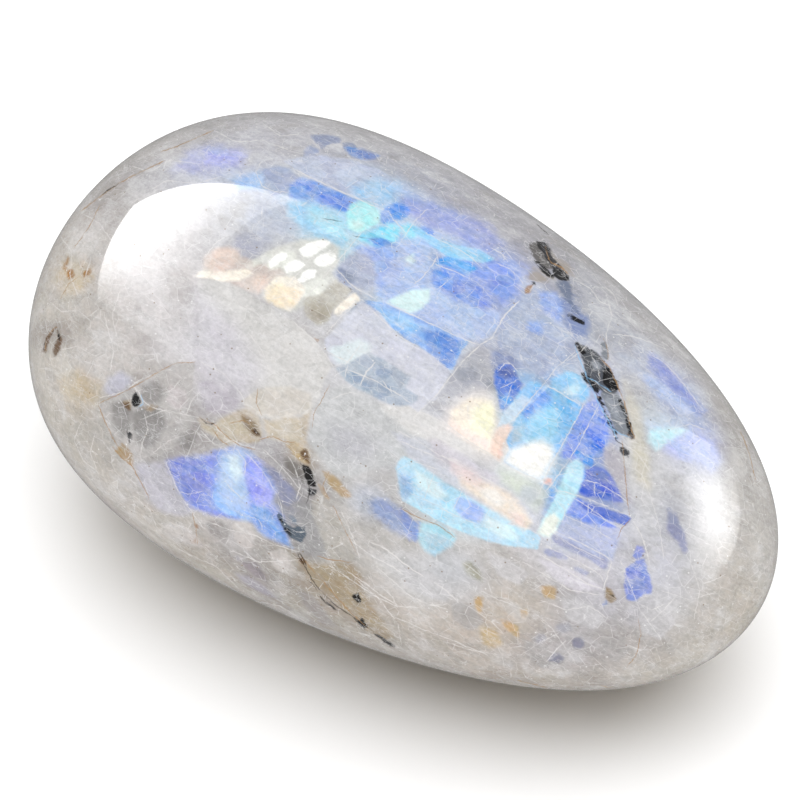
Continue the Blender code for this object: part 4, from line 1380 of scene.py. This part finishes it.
def mark_mesh(mesh, light_level):
    """Keeps every marking on the stone's mesh. Returns how many sheets each group takes."""
    points = np.empty(len(mesh.vertices) * 3, np.float32)
    normals = np.empty(len(mesh.vertices) * 3, np.float32)
    mesh.vertices.foreach_get("co", points)
    mesh.vertices.foreach_get("normal", normals)
    points = points.reshape(-1, 3).astype(float)
    normals = normals.reshape(-1, 3).astype(float)
    front, faces_front = seen_places(points, normals)
    back, faces_back = seen_places(points, normals, turned=True)
    front_shown = np.clip((faces_front - RIM_FACING) * RIM_PIXELS, -REACH, REACH)
    back_shown = np.minimum(faces_back - RIM_FACING, -faces_front - BACK_FACING) * RIM_PIXELS
    back_shown = np.clip(back_shown, -REACH, REACH)

    def paints(front_paints, back_paints, raggedness):
        yield from paint_marks(front_paints, raggedness, front, front_shown)
        yield from paint_marks(back_paints, raggedness, back, back_shown)

    cracked = ((FRONT_CRACKS, front, front_shown), (BACK_CRACKS, back, back_shown))
    no_paint = (-REACH, 0, 0)
    no_crack = (CRACK_REACH, -CRACK_REACH, 0)
    groups = {
        "grains": share_sheets(paints(FRONT_GRAINS, BACK_GRAINS, 1.0), no_paint),
        "pale_cracks": share_sheets(crack_marks(("pale", "lit"), cracked), no_crack),
        "inclusions": share_sheets(paints(FRONT_INCLUSIONS, BACK_INCLUSIONS, INCLUSION_RAGGED), no_paint),
        "stained_cracks": share_sheets(crack_marks(("rusty", "dark"), cracked), no_crack),
    }
    for name, sheets in groups.items():
        for number, sheet in enumerate(sheets):
            keep(mesh, f"{name}_{number}_shape", sheet.shape)
            keep(mesh, f"{name}_{number}_tone", sheet.tone)
    keep(mesh, "body_and_painted_light_tone", body_and_painted_light_tones(((FRONT_HAZE, front, front_shown), (BACK_HAZE, back, back_shown))))
    # The tones are divided by the studio's light on the skin. Skin that faces down also gets painted warm
    # shade, darker the more it faces down, and its bounce warms the table's shadow.
    rise = normals[:, 2:]
    light = light_level * (LIGHT_ROUND + LIGHT_ABOVE * rise + LIGHT_OVERHEAD * rise**2)
    underside_shade = np.clip((-rise - UNDERSIDE_START) / UNDERSIDE_START, 0, 1)
    keep(mesh, "light_division_and_underside_shade", (1 - underside_shade * UNDERSIDE_SHADE) / light)
    return {name: len(sheets) for name, sheets in groups.items()}


# The stone's material


class Shade:
    """An output of the material's nodes. Arithmetic on it adds Math nodes."""

    tree = None

    def __init__(self, socket):
        self.socket = socket

    @classmethod
    def node(cls, kind, settings=(), inputs=(), output=0):
        """Adds a node of a kind: its settings first, then its inputs. Returns one of its outputs."""
        node = cls.tree.nodes.new("ShaderNode" + kind)
        for name, value in dict(settings).items():
            setattr(node, name, value)
        for key, value in dict(inputs).items():
            if isinstance(value, Shade):
                cls.tree.links.new(value.socket, node.inputs[key])
            else:
                node.inputs[key].default_value = value
        return cls(node.outputs[output]) if node.outputs else None

    @classmethod
    def math(cls, operation, *terms):
        return cls.node("Math", {"operation": operation}, enumerate(terms))

    def __add__(self, other):
        return Shade.math("ADD", self, other)

    def __radd__(self, other):
        return Shade.math("ADD", other, self)

    def __sub__(self, other):
        return Shade.math("SUBTRACT", self, other)

    def __rsub__(self, other):
        return Shade.math("SUBTRACT", other, self)

    def __mul__(self, other):
        return Shade.math("MULTIPLY", self, other)

    def __rmul__(self, other):
        return Shade.math("MULTIPLY", other, self)

    def __abs__(self):
        return Shade.math("ABSOLUTE", self)

    def rise(self, low, high, start=0.0, end=1.0):
        """Goes smoothly from start to end while this goes from low to high."""
        inputs = {0: self, 1: low, 2: high, 3: start, 4: end}
        return Shade.node("MapRange", {"interpolation_type": "SMOOTHSTEP"}, inputs)

    def more(self, other):
        """The larger of the two."""
        return Shade.math("MAXIMUM", self, other)

    def other(self, output):
        """Another output of the same node."""
        return Shade(self.socket.node.outputs[output])

    def parts(self):
        """The three numbers of a colour."""
        red = Shade.node("SeparateColor", (), {0: self})
        return red, red.other(1), red.other(2)


def blend(share, below, above):
    """One colour laid over another with a share of cover."""
    return Shade.node("Mix", {"data_type": "RGBA"}, {0: share, 6: below, 7: above}, 2)


def crystal_place(across, along):
    """The place on the stone, in steps of so many millimetres across its layers and along them."""
    inputs = {
        "Vector": Shade.node("TexCoord", (), (), "Object"),
        "Rotation": CRYSTAL_TURN,
        "Scale": Vector((across, along, along)) * MM,
    }
    return Shade.node("Mapping", {"vector_type": "TEXTURE"}, inputs)


def noise(place, detail=2.0, roughness=0.5):
    """Soft noise from -1 to 1, though mostly near 0."""
    inputs = {"Vector": place, "Scale": 1.0, "Detail": detail, "Roughness": roughness}
    return Shade.node("TexNoise", (), inputs) * 2 - 1


def cells(place, metric="EUCLIDEAN"):
    """Cells round scattered points: the distance to the middle, and three random numbers for each cell."""
    middle = Shade.node("TexVoronoi", {"distance": metric}, {"Vector": place, "Scale": 1.0}, "Distance")
    return middle, *middle.other("Color").parts()


def cell_edges(place, width):
    """Lines between cells, of so many steps in width."""
    inputs = {"Vector": place, "Scale": 1.0}
    edge = Shade.node("TexVoronoi", {"feature": "DISTANCE_TO_EDGE"}, inputs, "Distance")
    return edge.rise(0.0, width, 1.0, 0.0)


def sheets_of(name, count):
    """Reads a group's sheets from the mesh, each when it is asked for, which spares the renderer's memory."""
    for number in range(count):
        settings = {"attribute_type": "GEOMETRY", "attribute_name": f"{name}_{number}_shape"}
        shape = Shade.node("Attribute", settings).parts()
        settings = {"attribute_type": "GEOMETRY", "attribute_name": f"{name}_{number}_tone"}
        yield shape, Shade.node("Attribute", settings)


def lay_paints(colour, name, count, ragged):
    """Lays a group's paints over a colour, with edges that follow the crystal's cells."""
    for number, ((depth, reach, cover), tone) in enumerate(sheets_of(name, count)):
        edge = Shade.math("MULTIPLY_ADD", ragged[number % len(ragged)], reach, depth)
        colour = blend(edge.rise(-1.0, 1.0, 0.0, cover), colour, tone)
    return colour


def lay_cracks(colour, name, count, wobble, strength):
    """Lays a group's cracks over a colour as lines that waver, thin out and fade."""
    for (off, left, width), tone in sheets_of(name, count):
        line = width * left.rise(-1, 7, 0.3, 1.0) - abs(off + wobble)
        cover = line.rise(-0.6, 0.6) * left.rise(-0.5, 1.5, 0.0, strength)
        colour = blend(cover, colour, tone)
    return colour


def linear(tone):
    """A tone's linear colour with its alpha."""
    return (*light_of(tone), 1)


def moonstone_material(counts, settings):
    """Milky feldspar with layers, cleavage cracks, blue sheen and dark inclusions under a high polish."""
    material = bpy.data.materials.new("moonstone")
    material.use_nodes = True
    Shade.tree = material.node_tree
    Shade.tree.nodes.clear()

    _, block_a, block_b, block_c = cells(crystal_place(1.0, 1.6))
    _, stripe_a, stripe_b, _ = cells(crystal_place(0.28, 2.2), "CHEBYCHEV")
    rough_a = noise(crystal_place(0.9, 0.9), 4.0, 0.6)
    rough_b = noise(crystal_place(0.35, 0.6), 3.0, 0.6)
    ragged = (
        rough_a * 1.3 + (stripe_a - 0.5) * 0.8,
        rough_b * 1.1 + (block_b - 0.5) * 1.0,
        (block_a - 0.5) * 1.0 - rough_a,
    )

    # The body with the painted shade and reflection of its hazes, its clouds and its patches
    colour = Shade.node("Attribute", {"attribute_type": "GEOMETRY", "attribute_name": "body_and_painted_light_tone"})
    clouds = noise(crystal_place(3.0, 4.5), 5.0, 0.62)
    colour = blend(clouds.rise(0.0, 0.35, 0.0, 0.35), colour, linear((228, 227, 228)))
    colour = blend(clouds.rise(0.0, -0.35, 0.0, 0.3), colour, linear((165, 158, 150)))
    colour = lay_paints(colour, "grains", counts["grains"], ragged)

    # Layers, cells and crackle
    _, wide_a, wide_b, _ = cells(crystal_place(2.4, 4.0))
    streaks = noise(crystal_place(0.30, 4.5), 4.0, 0.65)
    grit = noise(crystal_place(0.26, 0.30), 2.0, 0.7)
    value = 1.0 + streaks * settings.streaks + rough_b * settings.mottle + grit * settings.mottle
    value = value + (block_a - 0.5) * settings.cells + (wide_a - 0.5) * settings.cells
    value = value + (stripe_b - 0.5) * 0.05
    hue = 0.5 + (block_c - 0.5) * 0.012 + (wide_b - 0.5) * 0.01
    saturation = 1.0 + (stripe_a - 0.5) * 0.2 + rough_a * 0.4
    colour = Shade.node("HueSaturation", (), {0: hue, 1: saturation, 2: value, 4: colour})

    frost = noise(crystal_place(1.2, 2.0), 5.0, 0.7)
    colour = blend(frost.rise(0.0, 0.4, 0.0, settings.frost), colour, linear((240, 240, 243)))
    wobble = rough_b * 1.6
    strength = rough_a.rise(-0.25, 0.1, 0.35, 0.9)
    colour = lay_paints(colour, "inclusions", counts["inclusions"], ragged)
    crackled = noise(crystal_place(1.8, 1.8), 3.0, 0.6)
    web = cell_edges(crystal_place(1.0, 1.6), 0.03) * crackled.rise(-0.1, 0.2, 0.0, settings.crackle)
    fine_web = cell_edges(crystal_place(0.5, 0.8), 0.035) * crackled.rise(0.0, -0.25, 0.0, settings.crackle)
    web = web.more(fine_web)
    hair = abs(noise(crystal_place(1.2, 7.0), 3.0, 0.7)).rise(0.0, 0.014, 1.0, 0.0)
    hair = hair.more(abs(noise(crystal_place(0.7, 3.0), 2.0, 0.6)).rise(0.0, 0.02, 0.7, 0.0))
    web = web.more(hair * frost.rise(-0.25, 0.15, 0.0, settings.crackle))
    colour = blend(web, colour, linear((244, 243, 243)))
    colour = lay_cracks(colour, "pale_cracks", counts["pale_cracks"], wobble, strength)
    colour = lay_cracks(colour, "stained_cracks", counts["stained_cracks"], wobble, strength)

    # Specks of rust and white grains, and pits in the polish
    speck_middle, chance, pit_chance, _ = cells(crystal_place(0.55, 0.6))
    speck = speck_middle.rise(0.10, 0.17, 1.0, 0.0)
    colour = blend(speck * chance.rise(0.90, 0.92, 0.0, 0.7), colour, linear((140, 118, 92)))
    colour = blend(speck * chance.rise(0.14, 0.12, 0.0, 0.7), colour, linear((244, 244, 243)))
    # The studio's light divided out, with the painted warm shade of the underside
    share = Shade.node("Attribute", {"attribute_type": "GEOMETRY", "attribute_name": "light_division_and_underside_shade"})
    multiply = {"data_type": "RGBA", "blend_type": "MULTIPLY"}
    colour = Shade.node("Mix", multiply, {0: 1.0, 6: colour, 7: share}, 2)
    pit = speck_middle.rise(0.06, 0.10, 1.0, 0.0) * pit_chance.rise(0.85, 0.87)
    bump = {"Strength": settings.relief, "Distance": 0.03 * MM, "Height": pit}
    inputs = {
        "Base Color": colour,
        "Roughness": settings.roughness + pit * 0.3,
        "Normal": Shade.node("Bump", {"invert": True}, bump),
        "IOR": settings.refraction,
    }
    Shade.node("OutputMaterial", (), {0: Shade.node("BsdfPrincipled", (), inputs)})
    return material


# What a user can change


class StoneSettings(bpy.types.PropertyGroup):
    """Sizes and strengths of the stone's finish."""

    fineness: bpy.props.IntProperty(
        name="Fineness",
        description="Times that each face of the plain stone is divided",
        default=2,
        min=1,
        max=3,
    )
    light_level: bpy.props.FloatProperty(
        name="Light level",
        description="Brightness of the studio's light on the stone, by which the tones are divided",
        default=1.0,
        min=0.2,
        max=4.0,
    )
    roughness: bpy.props.FloatProperty(
        name="Roughness", description="Roughness of the polished skin", default=0.05, min=0.0, max=1.0
    )
    refraction: bpy.props.FloatProperty(
        name="Refraction", description="Refractive index of feldspar", default=1.53, min=1.0, max=3.0
    )
    relief: bpy.props.FloatProperty(
        name="Relief", description="Strength of the pits in the polish", default=0.6, min=0.0, max=1.0
    )
    streaks: bpy.props.FloatProperty(
        name="Streaks", description="Contrast of the twin layers", default=0.10, min=0.0, max=1.0
    )
    cells: bpy.props.FloatProperty(
        name="Cells", description="Contrast between the crystal's cells", default=0.11, min=0.0, max=1.0
    )
    mottle: bpy.props.FloatProperty(
        name="Mottle", description="Contrast of the fine frosty grain", default=0.2, min=0.0, max=1.0
    )
    frost: bpy.props.FloatProperty(
        name="Frost", description="Cover of the white frost in the crystal", default=0.22, min=0.0, max=1.0
    )
    crackle: bpy.props.FloatProperty(
        name="Crackle", description="Cover of the fine white crackle", default=0.5, min=0.0, max=1.0
    )


class StudioSettings(bpy.types.PropertyGroup):
    """Sizes and strengths of the table, the room's air and the lights."""

    table: bpy.props.FloatProperty(
        name="Table", description="Length of each edge of the table", default=6.0, min=0.5, unit="LENGTH"
    )
    table_tone: bpy.props.FloatVectorProperty(
        name="Table tone",
        description="Colour of the table",
        default=(0.9, 0.9, 0.9),
        min=0,
        max=1,
        subtype="COLOR",
    )
    air: bpy.props.FloatProperty(
        name="Air", description="Brightness of the room round the table", default=0.3, min=0.0
    )
    ceiling: bpy.props.FloatProperty(
        name="Ceiling", description="Brightness of the ceiling's light", default=2.9, min=0.0
    )
    left_panel: bpy.props.FloatProperty(
        name="Left panel", description="Brightness of the overhead panel's far end", default=11.4, min=0.0
    )
    right_panel: bpy.props.FloatProperty(
        name="Right panel", description="Brightness of the standing panel's middle", default=9.2, min=0.0
    )


# The pieces


class MOONSTONE_OT_stone(bpy.types.Operator):
    """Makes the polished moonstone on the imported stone's own form"""

    bl_idname = "moonstone.stone"
    bl_label = "Polished Stone"
    bl_options = {"REGISTER", "UNDO"}

    def execute(self, context):
        settings = context.scene.moonstone_stone
        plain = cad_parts["moonstone"]
        bpy.ops.object.select_all(action="DESELECT")
        plain.select_set(True)
        context.view_layer.objects.active = plain
        bpy.ops.object.duplicate()
        stone = context.view_layer.objects.active
        stone.name = "polished_stone"
        stone.data.name = "polished_stone"
        stone.parent = None
        for key in list(stone.keys()):
            del stone[key]
        bpy.ops.object.mode_set(mode="EDIT")
        bpy.ops.mesh.select_all(action="SELECT")
        bpy.ops.mesh.remove_doubles(threshold=0.01 * MM)
        bpy.ops.mesh.tris_convert_to_quads()
        bpy.ops.mesh.normals_make_consistent(inside=False)
        bpy.ops.object.mode_set(mode="OBJECT")
        finer = stone.modifiers.new("finer", "SUBSURF")
        finer.levels = settings.fineness
        finer.render_levels = settings.fineness
        bpy.ops.object.modifier_apply(modifier=finer.name)
        bpy.ops.object.shade_smooth()
        counts = mark_mesh(stone.data, settings.light_level)
        stone.data.materials.clear()
        stone.data.materials.append(moonstone_material(counts, settings))
        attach(stone, "root")
        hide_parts("moonstone")
        return {"FINISHED"}


def table_material(tone):
    """Matt white paper."""
    material = bpy.data.materials.new("table")
    material.use_nodes = True
    shader = material.node_tree.nodes["Principled BSDF"]
    shader.inputs["Base Color"].default_value = (*tone, 1)
    shader.inputs["Roughness"].default_value = 0.8
    shader.inputs["Specular IOR Level"].default_value = 0.2
    return material


def facing(right, up):
    """The turn of a lamp or camera whose own right and top point these ways.

    It looks away from the cross product of the two.
    """
    right = Vector(right).normalized()
    up = Vector(up).normalized()
    return Matrix((right, up, right.cross(up))).transposed().to_euler()


def add_panel(name, place, turn, wide, high, brightness, falloff=None):
    """Adds a flat lamp of one brightness, or of a share of it that changes across the lamp and up it."""
    bpy.ops.object.light_add(type="AREA", location=place, rotation=turn)
    lamp = bpy.context.object
    lamp.name = name
    lamp.data.shape = "RECTANGLE"
    lamp.data.size = wide
    lamp.data.size_y = high
    lamp.data.energy = brightness * math.pi * wide * high
    if falloff:
        lamp.data.use_nodes = True
        Shade.tree = lamp.data.node_tree
        Shade.tree.nodes.clear()
        across, upwards, _ = Shade.node("NewGeometry", (), (), "Parametric").parts()
        glow = Shade.node("Emission", (), {"Strength": falloff(across, upwards)})
        Shade.node("OutputLight", (), {0: glow})
    return lamp


class MOONSTONE_OT_studio(bpy.types.Operator):
    """Sets up the white table, the soft lights and the camera"""

    bl_idname = "moonstone.studio"
    bl_label = "Studio"
    bl_options = {"REGISTER", "UNDO"}

    def execute(self, context):
        settings = context.scene.moonstone_studio
        scene = context.scene
        bpy.ops.object.select_all(action="DESELECT")
        bpy.ops.mesh.primitive_plane_add(size=settings.table, location=(0, 0, 0))
        table = context.object
        table.name = "table"
        table.data.materials.append(table_material(settings.table_tone))
        table.visible_glossy = False

        world = bpy.data.worlds.new("room")
        world.use_nodes = True
        background = world.node_tree.nodes["Background"]
        background.inputs["Color"].default_value = (1, 1, 1, 1)
        background.inputs["Strength"].default_value = settings.air
        scene.world = world

        # A ceiling light, too soft to show in the polish
        place = RIGHT * CEILING_ASIDE + Vector((0, 0, CEILING_HEIGHT))
        ceiling = add_panel("ceiling_light", place, (0, 0, 0), CEILING_SIZE, CEILING_SIZE, settings.ceiling)
        ceiling.visible_glossy = False

        # A panel lies overhead to the left. Its far end is the brightest
        left = add_panel(
            "left_panel",
            LEFT_PANEL_PLACE,
            (0, 0, 0),
            LEFT_PANEL_WIDTH,
            LEFT_PANEL_DEPTH,
            settings.left_panel,
            lambda across, upwards: across.rise(0.72, 1.02, 1.0, 0.26) * upwards.rise(0.0, 0.65, 0.15, 1.0),
        )
        left.visible_diffuse = False

        # A soft box stands to the right
        way = Vector((math.cos(RIGHT_PANEL_AZIMUTH), math.sin(RIGHT_PANEL_AZIMUTH), 0))
        aside = Vector((-way.y, way.x, 0))
        middle = Vector((0, 0, RIGHT_PANEL_MIDDLE))
        right = add_panel(
            "right_panel",
            way * RIGHT_PANEL_DISTANCE + middle + aside * RIGHT_PANEL_ASIDE * RIGHT_PANEL_DISTANCE,
            facing(aside, (0, 0, 1)),
            RIGHT_PANEL_WIDTH,
            RIGHT_PANEL_HEIGHT,
            settings.right_panel,
            lambda across, upwards: (
                abs(across - 0.5).rise(0.0, 0.5, 1.0, 0.25) * abs(upwards - 0.4).rise(0.0, 0.6, 1.0, 0.1)
            ),
        )
        right.visible_diffuse = False

        bpy.ops.object.camera_add(location=EYE, rotation=facing(RIGHT, UP))
        camera = context.object
        camera.name = "camera"
        camera.data.sensor_width = SENSOR
        camera.data.lens = FOCAL_PIXELS * SENSOR / PICTURE
        camera.data.clip_start = 0.01
        scene.camera = camera
        scene.view_settings.view_transform = "Standard"
        return {"FINISHED"}


class MOONSTONE_PT_panel(bpy.types.Panel):
    """Lists what makes the stone and its studio"""

    bl_idname = "MOONSTONE_PT_panel"
    bl_label = "Rainbow Moonstone"
    bl_space_type = "VIEW_3D"
    bl_region_type = "UI"
    bl_category = "Moonstone"

    def draw(self, context):
        for name, operator in (
            ("moonstone_stone", MOONSTONE_OT_stone),
            ("moonstone_studio", MOONSTONE_OT_studio),
        ):
            settings = getattr(context.scene, name)
            for key in settings.bl_rna.properties.keys():
                if key not in {"name", "rna_type"}:
                    self.layout.prop(settings, key)
            self.layout.operator(operator.bl_idname)


CLASSES = (StoneSettings, StudioSettings, MOONSTONE_OT_stone, MOONSTONE_OT_studio, MOONSTONE_PT_panel)


def register():
    for kind in CLASSES:
        bpy.utils.register_class(kind)
    bpy.types.Scene.moonstone_stone = bpy.props.PointerProperty(type=StoneSettings)
    bpy.types.Scene.moonstone_studio = bpy.props.PointerProperty(type=StudioSettings)


def unregister():
    del bpy.types.Scene.moonstone_studio
    del bpy.types.Scene.moonstone_stone
    for kind in reversed(CLASSES):
        bpy.utils.unregister_class(kind)


def main():
    register()
    bpy.ops.moonstone.stone()
    bpy.ops.moonstone.studio()


if __name__ == "__main__":
    main()
